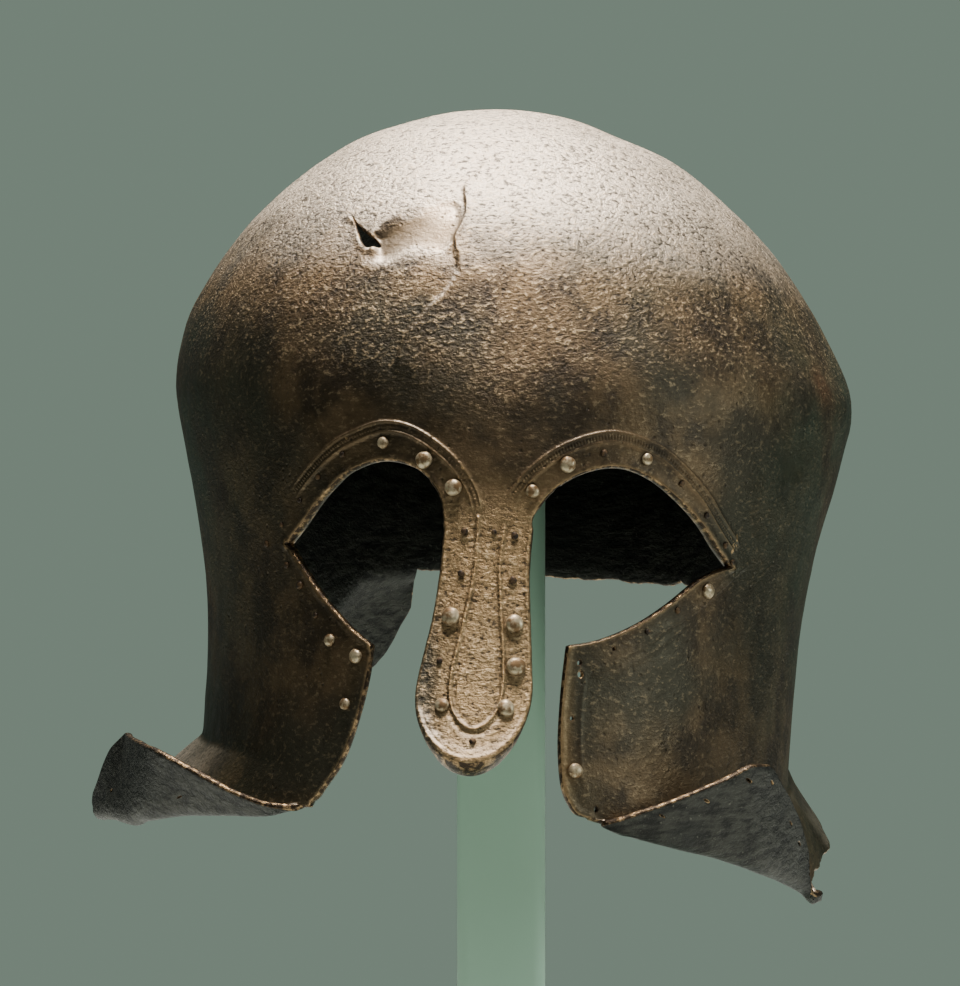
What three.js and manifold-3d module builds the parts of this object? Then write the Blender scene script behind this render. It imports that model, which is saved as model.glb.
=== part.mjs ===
// A hammered bronze Corinthian helmet, with its cheek corners bent outward,
// on a plain square post. Millimetres, +Z up, the face looks along -Y.
// The origin is the middle of the base plate's underside.
import * as THREE from 'three';
import Module from 'manifold-3d';
import { mergeVertices } from 'three/addons/utils/BufferGeometryUtils.js';

const wasm = await Module();
wasm.setup();

// ---- driving dimensions -------------------------------------------------
const DEG = Math.PI / 180;
const BASE = { side: 180, thick: 12, corner: 6 };
const POST = { side: 25, corner: 3.6, top: 342 };
const HELMET = { x: 4, y: 0, z: 278, roll: 3.5 * DEG, yaw: -3 * DEG };
const WALL = 2;
const GAP = 0.3;
const COLUMN_STEP = 5;
const BOWL_ROWS = 16;
const FOLD_STEPS = 4;
const FOLD_ROUND = 0.34;
const REST = { lastRow: 2.5, rings: 5, clearance: 0.5, dish: 4 };
const FAR = 220;
const FACE_DEPTH = 30;
const SPLINE_STEPS = 2;
const ANGLE_NUDGE = 0.01;
const HOLE_REACH = { flap: 7, cheek: 9, shank: 24 };

// Level sections of the skull, crown to cheek: the height and the distance
// from the helmet's middle to the left, right, front and back of the ring.
const SECTIONS = [
  { z: 80.8, left: 6, right: -6, front: -3, back: 3 },
  { z: 79, left: 23, right: 12, front: 22, back: 27 },
  { z: 74.7, left: 37.5, right: 26, front: 41, back: 47 },
  { z: 67.8, left: 52.4, right: 42.6, front: 60, back: 66 },
  { z: 57, left: 66.2, right: 57.7, front: 78, back: 85 },
  { z: 45, left: 77.7, right: 70.4, front: 92, back: 99 },
  { z: 32, left: 86.6, right: 81, front: 102, back: 110 },
  { z: 19, left: 93.5, right: 89, front: 108.5, back: 117.5 },
  { z: 7, left: 96.5, right: 95, front: 112.5, back: 122.5 },
  { z: -2, left: 97, right: 96.3, front: 114.5, back: 124.5 },
  { z: -10, left: 95.7, right: 94.8, front: 115.5, back: 124 },
  { z: -22, left: 92.5, right: 92.4, front: 116.5, back: 120.5 },
  { z: -38, left: 88, right: 88.3, front: 117.5, back: 114.5 },
  { z: -58, left: 83.5, right: 85.4, front: 119.5, back: 110 },
  { z: -80, left: 81.5, right: 84.4, front: 123, back: 109 },
  { z: -104, left: 81.5, right: 84, front: 127, back: 109.5 },
  { z: -140, left: 81.5, right: 84, front: 133, back: 111 },
];

// The lower border by compass angle (0 front, 90 right, 180 back): where the
// wall stops being plain, then the fold and the free edge beyond it. "out" is
// the distance outward from the wall, "turn" swings the edge round the wall.
const BORDER = [
  { at: -180, wall: -50, foldOut: 0, foldZ: -51.7, turn: 0, edgeOut: 0, edgeZ: -53.3 },
  { at: -157.2, wall: -50, foldOut: 0, foldZ: -51.7, turn: 0, edgeOut: 0, edgeZ: -53.4 },
  { at: -156.4, wall: -54, foldOut: 4, foldZ: -58, turn: -2.4, edgeOut: 7, edgeZ: -66 },
  { at: -154.5, wall: -54.4, foldOut: 4.8, foldZ: -59.5, turn: -2.5, edgeOut: 9.5, edgeZ: -73 },
  { at: -152.5, wall: -54.7, foldOut: 5.4, foldZ: -61, turn: -2.5, edgeOut: 11, edgeZ: -80 },
  { at: -150, wall: -55, foldOut: 6, foldZ: -63, turn: -2.3, edgeOut: 12, edgeZ: -85.4 },
  { at: -145, wall: -56.5, foldOut: 7, foldZ: -68, turn: 0, edgeOut: 13, edgeZ: -93 },
  { at: -138, wall: -66, foldOut: 7, foldZ: -78, turn: 0, edgeOut: 15, edgeZ: -101 },
  { at: -125, wall: -86, foldOut: 7, foldZ: -95, turn: 0, edgeOut: 16, edgeZ: -110 },
  { at: -108, wall: -97, foldOut: 9, foldZ: -106, turn: 0, edgeOut: 18, edgeZ: -116 },
  { at: -97, wall: -101, foldOut: 18, foldZ: -117, turn: 0, edgeOut: 25, edgeZ: -121 },
  { at: -89, wall: -101, foldOut: 27.2, foldZ: -127.2, turn: 0, edgeOut: 29, edgeZ: -123.5 },
  { at: -84, wall: -101, foldOut: 27.8, foldZ: -126.8, turn: 1, edgeOut: 28.4, edgeZ: -119.7 },
  { at: -79, wall: -101, foldOut: 25.9, foldZ: -127.9, turn: 1, edgeOut: 26, edgeZ: -110.9 },
  { at: -76.5, wall: -101, foldOut: 25, foldZ: -128.1, turn: 1.5, edgeOut: 23.9, edgeZ: -104.6 },
  { at: -74, wall: -101, foldOut: 24.1, foldZ: -128.1, turn: 2, edgeOut: 20.8, edgeZ: -100.8 },
  { at: -70, wall: -101, foldOut: 20.7, foldZ: -128.4, turn: 5, edgeOut: 20.9, edgeZ: -101.4 },
  { at: -67, wall: -101, foldOut: 19.4, foldZ: -126.2, turn: 7, edgeOut: 20.9, edgeZ: -101.8 },
  { at: -64.5, wall: -101, foldOut: 18, foldZ: -125.2, turn: 8, edgeOut: 20.9, edgeZ: -102.2 },
  { at: -58, wall: -101, foldOut: 12, foldZ: -121.4, turn: 9, edgeOut: 14.7, edgeZ: -106.7 },
  { at: -48, wall: -102, foldOut: 7, foldZ: -118.4, turn: 6, edgeOut: 9.6, edgeZ: -111.1 },
  { at: -39.5, wall: -104, foldOut: 3.6, foldZ: -116.2, turn: 3, edgeOut: 5.7, edgeZ: -113 },
  { at: -31, wall: -104, foldOut: 0.4, foldZ: -111, turn: 0, edgeOut: 0.5, edgeZ: -113.2 },
  { at: 0, wall: -104, foldOut: 0.4, foldZ: -110, turn: 0, edgeOut: 0.5, edgeZ: -112 },
  { at: 23.5, wall: -103, foldOut: 0.4, foldZ: -110, turn: 0, edgeOut: 0.5, edgeZ: -111.6 },
  { at: 25.5, wall: -103, foldOut: 1.1, foldZ: -113, turn: -1.5, edgeOut: 1.6, edgeZ: -111.3 },
  { at: 30, wall: -103, foldOut: 2.6, foldZ: -115.5, turn: -3.5, edgeOut: 4.7, edgeZ: -109.6 },
  { at: 36.5, wall: -103, foldOut: 4.9, foldZ: -118.7, turn: -6.5, edgeOut: 8, edgeZ: -106.9 },
  { at: 44, wall: -103, foldOut: 8, foldZ: -122.4, turn: -7.5, edgeOut: 12.9, edgeZ: -101.5 },
  { at: 47.5, wall: -103.5, foldOut: 9.5, foldZ: -124.5, turn: -7.6, edgeOut: 15.1, edgeZ: -98.6 },
  { at: 51, wall: -104, foldOut: 11, foldZ: -126.6, turn: -7.7, edgeOut: 17.7, edgeZ: -95.2 },
  { at: 54, wall: -105, foldOut: 11.6, foldZ: -128.2, turn: -8, edgeOut: 17.8, edgeZ: -95.2 },
  { at: 58, wall: -105, foldOut: 12.1, foldZ: -130, turn: -7.5, edgeOut: 16.7, edgeZ: -99.9 },
  { at: 62, wall: -106, foldOut: 12.4, foldZ: -131.6, turn: -7, edgeOut: 16.4, edgeZ: -106.6 },
  { at: 66, wall: -106, foldOut: 13.6, foldZ: -133.2, turn: -4, edgeOut: 14.6, edgeZ: -117.9 },
  { at: 69, wall: -107, foldOut: 14.7, foldZ: -134, turn: -2, edgeOut: 15.6, edgeZ: -131.3 },
  { at: 74, wall: -107, foldOut: 6, foldZ: -118, turn: 0, edgeOut: 11.6, edgeZ: -130.6 },
  { at: 79, wall: -107, foldOut: 5.5, foldZ: -115.5, turn: 0, edgeOut: 11.1, edgeZ: -127.6 },
  { at: 84, wall: -106, foldOut: 5, foldZ: -113, turn: 0, edgeOut: 11.4, edgeZ: -124.8 },
  { at: 88, wall: -105, foldOut: 5, foldZ: -112, turn: 0, edgeOut: 13.2, edgeZ: -122.6 },
  { at: 94, wall: -103, foldOut: 4, foldZ: -109, turn: 0, edgeOut: 12, edgeZ: -119 },
  { at: 98, wall: -100, foldOut: 3, foldZ: -106, turn: 0, edgeOut: 10.5, edgeZ: -115.6 },
  { at: 102, wall: -96, foldOut: 2, foldZ: -102, turn: 0, edgeOut: 7.9, edgeZ: -112 },
  { at: 108, wall: -88, foldOut: 0, foldZ: -90, turn: 0, edgeOut: 0, edgeZ: -92 },
  { at: 120, wall: -69, foldOut: 0, foldZ: -71, turn: 0, edgeOut: 0, edgeZ: -73 },
  { at: 132, wall: -55, foldOut: 0, foldZ: -56.5, turn: 0, edgeOut: 0, edgeZ: -58 },
  { at: 143, wall: -50.8, foldOut: 0, foldZ: -52, turn: 0, edgeOut: 0, edgeZ: -53.2 },
  { at: 160, wall: -50, foldOut: 0, foldZ: -51.7, turn: 0, edgeOut: 0, edgeZ: -53.4 },
  { at: 180, wall: -50, foldOut: 0, foldZ: -51.7, turn: 0, edgeOut: 0, edgeZ: -53.3 },
];

// Outline of the eyes and the gap between the cheeks, seen from the front.
const LEFT_BROW = [
  [-54.2, -45.2], [-50, -39.6], [-46, -33.6], [-42, -28.8], [-37, -24.4], [-28.5, -21.2],
  [-20, -22.4], [-15, -26.2], [-11.9, -31], [-10.8, -38],
];
const RIGHT_BROW = [
  [12, -38], [11.6, -34.5], [13, -31.4], [17.4, -25.8], [24.7, -21.2], [33.3, -19.3],
  [41.9, -21.7], [49.9, -27.3], [56, -33.2], [60.6, -39.4], [64.8, -44.4],
];
const RIGHT_CHEEK_TOP = [[64.8, -44.4], [57, -47.7], [48, -55.4], [40, -61], [31, -65.2], [23.2, -67]];
const RIGHT_CHEEK_FRONT = [[23.2, -67], [22.6, -81], [22.9, -93], [24.6, -104], [27.5, -109], [32.5, -112]];
const LEFT_CHEEK_FRONT = [
  [-43.5, -113.4], [-39, -108.4], [-34.5, -100.5], [-31.2, -90], [-29, -79], [-28.2, -70],
];
const LEFT_CHEEK_TOP = [[-28.2, -70], [-34, -66.2], [-42, -59], [-49.4, -50.6], [-54.2, -45.2]];

// The nose guard: height, middle, half width and how far its face stands
// ahead of the skull's front.
const NASAL_THICK = { most: 6.5, least: 3, growth: 0.16 };
const NASAL_CROWN = 1.2;
const NASAL_BACK = 0.9;
const NASAL_SLANT = 0.3;
const NASAL = [
  { z: -25, x: 0.4, half: 9, ahead: -0.6 },
  { z: -38, x: 0.7, half: 11.3, ahead: 0.9 },
  { z: -49, x: 0.4, half: 11.5, ahead: 2.4 },
  { z: -62, x: 0.5, half: 12.8, ahead: 4.6 },
  { z: -72, x: 0.2, half: 14.2, ahead: 6.8 },
  { z: -79, x: 0, half: 15, ahead: 8.6 },
  { z: -84.5, x: -0.2, half: 14.5, ahead: 10.4 },
  { z: -89.5, x: -0.2, half: 12.4, ahead: 12.4 },
  { z: -93.5, x: -0.2, half: 9.2, ahead: 14.3 },
  { z: -96.4, x: -0.2, half: 4.6, ahead: 15.8 },
];

// Raised borders over the eyes: their middle lines and section.
const RIDGE = { width: 3.2, height: 0.7, depth: 1, steps: 16 };
const LEFT_RIDGE = [
  [-48, -25.5], [-43, -19.8], [-37.4, -16.2], [-29.3, -12.8], [-22, -13.6], [-14.6, -17.4],
  [-8.4, -22.6], [-4.4, -28.6], [-2.6, -35],
];
const RIGHT_RIDGE = [
  [5.6, -35], [7, -28.6], [11, -22.6], [18.6, -16.4], [27.7, -12.6], [34.4, -12.2], [43.6, -15],
  [49.6, -19.4], [55.8, -25.6],
];

// Dome-headed studs: place seen from the front, and head radius.
const SHANK = 0.8;
const STUD_SIDES = 8;
const STUDS = {
  brow_stud_left_1: { x: -28.7, z: -17, radius: 1.6 },
  brow_stud_left_2: { x: -17.4, z: -20.9, radius: 2.3 },
  brow_stud_left_3: { x: -9.2, z: -27.6, radius: 2.3 },
  brow_stud_right_1: { x: 11.4, z: -27.3, radius: 1.8 },
  brow_stud_right_2: { x: 20, z: -19.8, radius: 2.2 },
  brow_stud_right_3: { x: 40.5, z: -17, radius: 1.6 },
  nasal_stud_left_1: { x: -7.5, z: -61, radius: 2.5 },
  nasal_stud_left_2: { x: -7.8, z: -83.6, radius: 1.9 },
  nasal_stud_right_1: { x: 9.1, z: -61.8, radius: 2.4 },
  nasal_stud_right_2: { x: 10.4, z: -72.7, radius: 2.5 },
  nasal_stud_right_3: { x: 8.6, z: -83.2, radius: 2.4 },
  cheek_stud_left_1: { x: -39.5, z: -69.6, radius: 1.7 },
  cheek_stud_left_2: { x: -32.1, z: -73.2, radius: 1.9 },
  cheek_stud_left_3: { x: -34.1, z: -85.8, radius: 1.6 },
  cheek_stud_right_1: { x: 58.3, z: -50.9, radius: 2 },
  cheek_stud_right_2: { x: 27, z: -98.9, radius: 2 },
};

// Pierced holes: along the bent corners (angle, share of the way from fold to
// free edge, radius) and through the right cheek (place from the front).
const FLAP_HOLES = [
  [37, 0.84, 0.9], [44, 0.86, 0.9], [50, 0.9, 0.9], [55, 0.88, 0.8], [60.5, 0.74, 0.9],
  [63, 0.66, 0.9], [66, 0.5, 0.8], [-75, 0.42, 0.8], [-59, 0.5, 0.8],
];
const CHEEK_HOLES = [
  [26.4, -71, 1], [26.8, -74, 1.2], [25.4, -85.4, 0.9], [32.8, -108.4, 0.9], [35, -67, 0.8],
];
const TEAR = [[-44.5, 46], [-34.6, 36.9], [-39.6, 36.2]];

// ---- surface of the skull ----------------------------------------------
const lerp = (a, b, t) => a + (b - a) * t;

function catmull(a, b, c, d, t) {
  return 0.5 * (2 * b + (c - a) * t + (2 * a - 5 * b + 4 * c - d) * t * t
    + (3 * b - a - 3 * c + d) * t * t * t);
}

// The ring above the crown mirrors the second one, so the top is round.
function sectionValue(index, key) {
  if (index < 0) {
    const mirrored = 2 * SECTIONS[0][key] - SECTIONS[1][key];
    return key === 'z' ? SECTIONS[1].z : mirrored;
  }
  return SECTIONS[Math.min(index, SECTIONS.length - 1)][key];
}

function sectionAt(row) {
  const i = Math.min(Math.floor(row), SECTIONS.length - 2);
  const at = (key) => catmull(sectionValue(i - 1, key), sectionValue(i, key),
    sectionValue(i + 1, key), sectionValue(i + 2, key), row - i);
  return { z: at('z'), left: at('left'), right: at('right'), front: at('front'), back: at('back') };
}

function rowOf(z) {
  let low = 0;
  let high = SECTIONS.length - 1;
  for (let i = 0; i < 30; i++) {
    const middle = (low + high) / 2;
    if (sectionAt(middle).z > z) low = middle;
    else high = middle;
  }
  return low;
}

function skullPoint(angle, row) {
  const s = sectionAt(row);
  return new THREE.Vector3(
    (s.right - s.left) / 2 + (s.right + s.left) / 2 * Math.sin(angle),
    (s.back - s.front) / 2 - (s.back + s.front) / 2 * Math.cos(angle), s.z);
}

// A point beside the wall: outward by "out" from the ring at wallZ.
function besideWall(angle, wallZ, out, z) {
  const row = rowOf(wallZ);
  const p = skullPoint(angle, row);
  const along = skullPoint(angle + ANGLE_NUDGE, row).sub(skullPoint(angle - ANGLE_NUDGE, row));
  const outward = new THREE.Vector3(along.y, -along.x, 0).normalize();
  return new THREE.Vector3(p.x + outward.x * out, p.y + outward.y * out, z);
}

function borderAt(degrees) {
  const next = BORDER.findIndex((row) => row.at >= degrees);
  const b = BORDER[Math.max(next, 1)];
  const a = BORDER[Math.max(next, 1) - 1];
  const t = (degrees - a.at) / (b.at - a.at);
  const row = {};
  for (const key of Object.keys(a)) row[key] = lerp(a[key], b[key], t);
  return row;
}

// One column of the sheet: down the skull, round the fold, to the free edge.
function column(degrees) {
  const border = borderAt(degrees);
  const angle = degrees * DEG;
  const lastRow = rowOf(border.wall);
  const points = [];
  for (let i = 1; i <= BOWL_ROWS; i++) points.push(skullPoint(angle, lastRow * i / BOWL_ROWS));
  const wall = points[points.length - 1];
  const fold = besideWall(angle, border.wall, border.foldOut, border.foldZ);
  const edge = besideWall((degrees + border.turn) * DEG, border.wall, border.edgeOut, border.edgeZ);
  const before = fold.clone().lerp(wall, FOLD_ROUND);
  const after = fold.clone().lerp(edge, FOLD_ROUND);
  points.push(wall.clone().lerp(before, 0.5));
  const bend = new THREE.QuadraticBezierCurve3(before, fold, after);
  points.push(...bend.getPoints(FOLD_STEPS));
  points.push(after.clone().lerp(edge, 0.5), edge);
  return points;
}

// ---- closed meshes -------------------------------------------------------
function toManifold(geometry) {
  const bare = geometry.clone();
  bare.deleteAttribute('normal');
  bare.deleteAttribute('uv');
  const merged = mergeVertices(bare, 1e-5);
  return new wasm.Manifold(new wasm.Mesh({
    numProp: 3,
    vertProperties: new Float32Array(merged.attributes.position.array),
    triVerts: new Uint32Array(merged.index.array),
  }));
}

function toGeometry(solid) {
  const mesh = solid.getMesh();
  const geometry = new THREE.BufferGeometry();
  geometry.setAttribute('position', new THREE.BufferAttribute(new Float32Array(mesh.vertProperties), 3));
  geometry.setIndex(new THREE.BufferAttribute(new Uint32Array(mesh.triVerts), 1));
  geometry.computeVertexNormals();
  return geometry;
}

function indexed(points, triangles) {
  const geometry = new THREE.BufferGeometry();
  geometry.setAttribute('position', new THREE.Float32BufferAttribute(points.flatMap((p) => p.toArray()), 3));
  geometry.setIndex(triangles);
  return geometry;
}

function sheetNormal(columns, i, j) {
  const count = columns.length;
  const column = columns[i];
  const side = columns[(i + 1) % count][j].clone().sub(columns[(i + count - 1) % count][j]);
  const down = column[Math.min(j + 1, column.length - 1)].clone().sub(column[Math.max(j - 1, 0)]);
  return down.cross(side).normalize();
}

// The sheet as two skins, "wall" apart, joined along the free edge.
function sheetGeometry(columns, pole, wall) {
  const count = columns.length;
  const rows = columns[0].length;
  const outer = columns.flat();
  const inner = columns.flatMap((points, i) => points.map((p, j) => p.clone()
    .addScaledVector(sheetNormal(columns, i, j), -wall)));
  const poleIn = pole.clone().add(new THREE.Vector3(0, 0, -wall));
  const innerStart = outer.length;
  const poles = [2 * innerStart, 2 * innerStart + 1];
  const triangles = [];
  for (let i = 0; i < count; i++) {
    const a = i * rows;
    const b = ((i + 1) % count) * rows;
    triangles.push(poles[0], a, b, poles[1], innerStart + b, innerStart + a);
    for (let j = 0; j + 1 < rows; j++) {
      triangles.push(a + j, a + j + 1, b + j, b + j, a + j + 1, b + j + 1);
      const c = innerStart + a + j;
      const d = innerStart + b + j;
      triangles.push(c, d, c + 1, d, d + 1, c + 1);
    }
    const last = rows - 1;
    triangles.push(a + last, innerStart + a + last, b + last);
    triangles.push(b + last, innerStart + a + last, innerStart + b + last);
  }
  return indexed([...outer, ...inner, pole, poleIn], triangles);
}

// A solid lofted through rings of the same number of points, ends closed.
function loftGeometry(rings) {
  const size = rings[0].length;
  const points = rings.flat();
  const triangles = [];
  for (let r = 0; r + 1 < rings.length; r++) {
    for (let i = 0; i < size; i++) {
      const a = r * size + i;
      const b = r * size + (i + 1) % size;
      triangles.push(a, b, a + size, b, b + size, a + size);
    }
  }
  const last = (rings.length - 1) * size;
  for (let i = 1; i + 1 < size; i++) {
    triangles.push(0, i + 1, i, last, last + i, last + i + 1);
  }
  return indexed(points, triangles);
}

function outward(solid) {
  return solid.volume() < 0 ? new wasm.Manifold(flipped(solid.getMesh())) : solid;
}

function flipped(mesh) {
  const triVerts = new Uint32Array(mesh.triVerts);
  for (let i = 0; i < triVerts.length; i += 3) {
    [triVerts[i], triVerts[i + 1]] = [triVerts[i + 1], triVerts[i]];
  }
  return new wasm.Mesh({ numProp: 3, vertProperties: mesh.vertProperties, triVerts });
}

// ---- pieces of the helmet ------------------------------------------------
function bronzeSheet() {
  const columns = [];
  for (let degrees = -180; degrees < 180; degrees += COLUMN_STEP) columns.push(column(degrees));
  return toManifold(sheetGeometry(columns, skullPoint(0, 0), WALL));
}

function spline(shape, points) {
  shape.splineThru(points.slice(1).map(([x, z]) => new THREE.Vector2(x, z)));
}

// A cutter through the front half: an outline in X and Z, pushed along Y.
function frontCutter(shape) {
  const geometry = new THREE.ExtrudeGeometry(shape,
    { depth: FAR - FACE_DEPTH, bevelEnabled: false, curveSegments: SPLINE_STEPS });
  geometry.rotateX(Math.PI / 2);
  geometry.translate(0, -FACE_DEPTH, 0);
  return toManifold(geometry);
}

function faceOpening() {
  const shape = new THREE.Shape();
  shape.moveTo(...LEFT_BROW[0]);
  spline(shape, LEFT_BROW);
  shape.lineTo(...RIGHT_BROW[0]);
  spline(shape, RIGHT_BROW);
  spline(shape, RIGHT_CHEEK_TOP);
  spline(shape, RIGHT_CHEEK_FRONT);
  shape.lineTo(RIGHT_CHEEK_FRONT[RIGHT_CHEEK_FRONT.length - 1][0], -FAR);
  shape.lineTo(LEFT_CHEEK_FRONT[0][0], -FAR);
  shape.lineTo(...LEFT_CHEEK_FRONT[0]);
  spline(shape, LEFT_CHEEK_FRONT);
  spline(shape, LEFT_CHEEK_TOP);
  return frontCutter(shape);
}

function nasalFace(z, ahead) {
  return -sectionAt(rowOf(z)).front - ahead;
}

function nasalThickness(z) {
  const below = NASAL[0].z - z;
  return Math.min(NASAL_THICK.most, NASAL_THICK.least + below * NASAL_THICK.growth);
}

function nasal() {
  const rings = NASAL.map(({ z, x, half, ahead }) => {
    const face = nasalFace(z, ahead);
    const ring = [];
    for (let i = -3; i <= 3; i++) {
      ring.push(new THREE.Vector3(x + half * i / 3, face + NASAL_CROWN * (i / 3) ** 2, z));
    }
    const thick = nasalThickness(z);
    for (let i = 2; i >= -2; i--) {
      ring.push(new THREE.Vector3(x + half * NASAL_BACK * i / 2, face + thick, z + thick * NASAL_SLANT));
    }
    return ring;
  });
  return outward(toManifold(loftGeometry(rings)));
}

// The skin's point and outward normal at a place given from the front.
function frontPlace(x, z) {
  const row = rowOf(z);
  const s = sectionAt(row);
  const angle = Math.asin((x - (s.right - s.left) / 2) / ((s.right + s.left) / 2));
  const point = skullPoint(angle, row);
  const side = skullPoint(angle + ANGLE_NUDGE, row).sub(skullPoint(angle - ANGLE_NUDGE, row));
  const down = skullPoint(angle, row + ANGLE_NUDGE).sub(skullPoint(angle, row - ANGLE_NUDGE));
  return { point, normal: down.cross(side).normalize() };
}

function nasalPlace(x, z) {
  const next = NASAL.findIndex((row) => row.z <= z);
  const a = NASAL[next - 1];
  const b = NASAL[next];
  const t = (z - a.z) / (b.z - a.z);
  const half = lerp(a.half, b.half, t);
  const side = (x - lerp(a.x, b.x, t)) / half;
  const y = nasalFace(z, lerp(a.ahead, b.ahead, t)) + NASAL_CROWN * side * side;
  const slope = (nasalFace(b.z, b.ahead) - nasalFace(a.z, a.ahead)) / (b.z - a.z);
  const normal = new THREE.Vector3(2 * NASAL_CROWN * side / half, -1, slope).normalize();
  return { point: new THREE.Vector3(x, y, z), normal };
}

function studPlace(name, { x, z }) {
  return name.startsWith('nasal') ? nasalPlace(x, z) : frontPlace(x, z);
}

function ridge(line) {
  const curve = new THREE.CatmullRomCurve3(line.map(([x, z]) => new THREE.Vector3(x, 0, z)));
  const stops = curve.getPoints(RIDGE.steps);
  const rings = stops.map((stop, i) => {
    const { point, normal } = frontPlace(stop.x, stop.z);
    const a = stops[Math.max(i - 1, 0)];
    const b = stops[Math.min(i + 1, stops.length - 1)];
    const along = frontPlace(b.x, b.z).point.sub(frontPlace(a.x, a.z).point).normalize();
    const across = normal.clone().cross(along).normalize();
    const corner = (side, lift) => point.clone()
      .addScaledVector(across, side * RIDGE.width).addScaledVector(normal, lift);
    return [corner(-0.5, -RIDGE.depth), corner(-0.5, 0.1), corner(-0.3, RIDGE.height),
      corner(0.3, RIDGE.height), corner(0.5, 0.1), corner(0.5, -RIDGE.depth)];
  });
  return outward(toManifold(loftGeometry(rings)));
}

// A rod along a direction, for holes and shanks.
function rod(centre, direction, radius, length, sides = 8) {
  const geometry = new THREE.CylinderGeometry(radius, radius, length, sides);
  geometry.applyQuaternion(new THREE.Quaternion().setFromUnitVectors(new THREE.Vector3(0, 1, 0), direction));
  geometry.translate(centre.x, centre.y, centre.z);
  return toManifold(geometry);
}

function flapHole([degrees, share, radius]) {
  const border = borderAt(degrees);
  const fold = besideWall(degrees * DEG, border.wall, border.foldOut, border.foldZ);
  const edge = besideWall((degrees + border.turn) * DEG, border.wall, border.edgeOut, border.edgeZ);
  const side = besideWall((degrees + 2) * DEG, border.wall, border.foldOut, border.foldZ)
    .sub(besideWall((degrees - 2) * DEG, border.wall, border.foldOut, border.foldZ));
  const normal = edge.clone().sub(fold).cross(side).normalize();
  return rod(fold.lerp(edge, share), normal, radius, HOLE_REACH.flap);
}

function tearCutter() {
  const shape = new THREE.Shape(TEAR.map(([x, z]) => new THREE.Vector2(x, z)));
  return frontCutter(shape);
}

function helmetShell() {
  let solid = bronzeSheet().subtract(faceOpening()).add(nasal());
  solid = solid.add(ridge(LEFT_RIDGE)).add(ridge(RIGHT_RIDGE)).subtract(tearCutter());
  for (const hole of FLAP_HOLES) solid = solid.subtract(flapHole(hole));
  for (const [x, z, radius] of CHEEK_HOLES) {
    const { point, normal } = frontPlace(x, z);
    solid = solid.subtract(rod(point, normal, radius, HOLE_REACH.cheek));
  }
  for (const [name, stud] of Object.entries(STUDS)) {
    const { point, normal } = studPlace(name, stud);
    solid = solid.subtract(rod(point, normal, SHANK + GAP, HOLE_REACH.shank, 6));
  }
  return solid;
}

// A domed head on a short shank, its axis along +Y before it is turned.
function studGeometry(radius, shankLength) {
  const head = radius * 0.64;
  const profile = [[0, -shankLength], [SHANK, -shankLength], [SHANK, GAP], [radius, GAP],
    [radius * 0.94, GAP + head * 0.5], [radius * 0.56, GAP + head * 0.92], [0, GAP + head]];
  return new THREE.LatheGeometry(profile.map(([x, y]) => new THREE.Vector2(x, y)), STUD_SIDES);
}

// Rounded cap that carries the crown: the skull's inner face, closed below.
function crownRest() {
  const { rings, lastRow, dish } = REST;
  const offset = WALL + REST.clearance;
  const columns = [];
  for (let degrees = -180; degrees < 180; degrees += 2 * COLUMN_STEP) {
    const points = [];
    for (let j = 1; j <= rings; j++) points.push(skullPoint(degrees * DEG, lastRow * j / rings));
    columns.push(points);
  }
  const top = columns.flatMap((points, i) => points.map((p, j) => p.clone()
    .addScaledVector(sheetNormal(columns, i, j), -offset)));
  const crown = skullPoint(0, 0).add(new THREE.Vector3(0, 0, -offset));
  const floor = new THREE.Vector3(crown.x, crown.y, top[rings - 1].z - dish);
  const crownIndex = top.length;
  const floorIndex = crownIndex + 1;
  const triangles = [];
  for (let i = 0; i < columns.length; i++) {
    const a = i * rings;
    const b = ((i + 1) % columns.length) * rings;
    triangles.push(crownIndex, a, b);
    for (let j = 0; j + 1 < rings; j++) triangles.push(a + j, a + j + 1, b + j, b + j, a + j + 1, b + j + 1);
    triangles.push(a + rings - 1, floorIndex, b + rings - 1);
  }
  return toManifold(indexed([...top, crown, floor], triangles));
}

// ---- stand ---------------------------------------------------------------
function roundedSquare(side, corner) {
  const half = side / 2;
  const inner = half - corner;
  const shape = new THREE.Shape();
  shape.moveTo(-inner, -half);
  shape.lineTo(inner, -half);
  shape.absarc(inner, -inner, corner, -Math.PI / 2, 0);
  shape.lineTo(half, inner);
  shape.absarc(inner, inner, corner, 0, Math.PI / 2);
  shape.lineTo(-inner, half);
  shape.absarc(-inner, inner, corner, Math.PI / 2, Math.PI);
  shape.lineTo(-half, -inner);
  shape.absarc(-inner, -inner, corner, Math.PI, Math.PI * 1.5);
  return shape;
}

function upright(side, corner, from, to) {
  const geometry = new THREE.ExtrudeGeometry(roundedSquare(side, corner),
    { depth: to - from, bevelEnabled: false, curveSegments: 4 });
  geometry.translate(0, 0, from);
  return geometry;
}

// ---- assembly ------------------------------------------------------------
const bronze = { color: 0x6b5640, roughness: 0.48, metalness: 0.85 };
const studBronze = { color: 0xb3a58e, roughness: 0.4, metalness: 0.8 };
const paint = { color: 0x9db8a6, roughness: 0.45, metalness: 0 };

function piece(name, geometry, look) {
  const mesh = new THREE.Mesh(geometry, new THREE.MeshStandardMaterial(look));
  mesh.name = name;
  return mesh;
}

function studPiece(name, stud) {
  const { point, normal } = studPlace(name, stud);
  const mesh = piece(name, studGeometry(stud.radius, name.startsWith('nasal') ? 4 : WALL), studBronze);
  mesh.quaternion.setFromUnitVectors(new THREE.Vector3(0, 1, 0), normal);
  mesh.position.copy(point);
  return mesh;
}

const stand = new THREE.Group();
const helmet = new THREE.Group();
const leaning = new THREE.Group();
leaning.position.set(HELMET.x, HELMET.y, HELMET.z);
leaning.rotation.y = HELMET.roll;
helmet.rotation.z = HELMET.yaw;
leaning.add(helmet);

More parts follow.
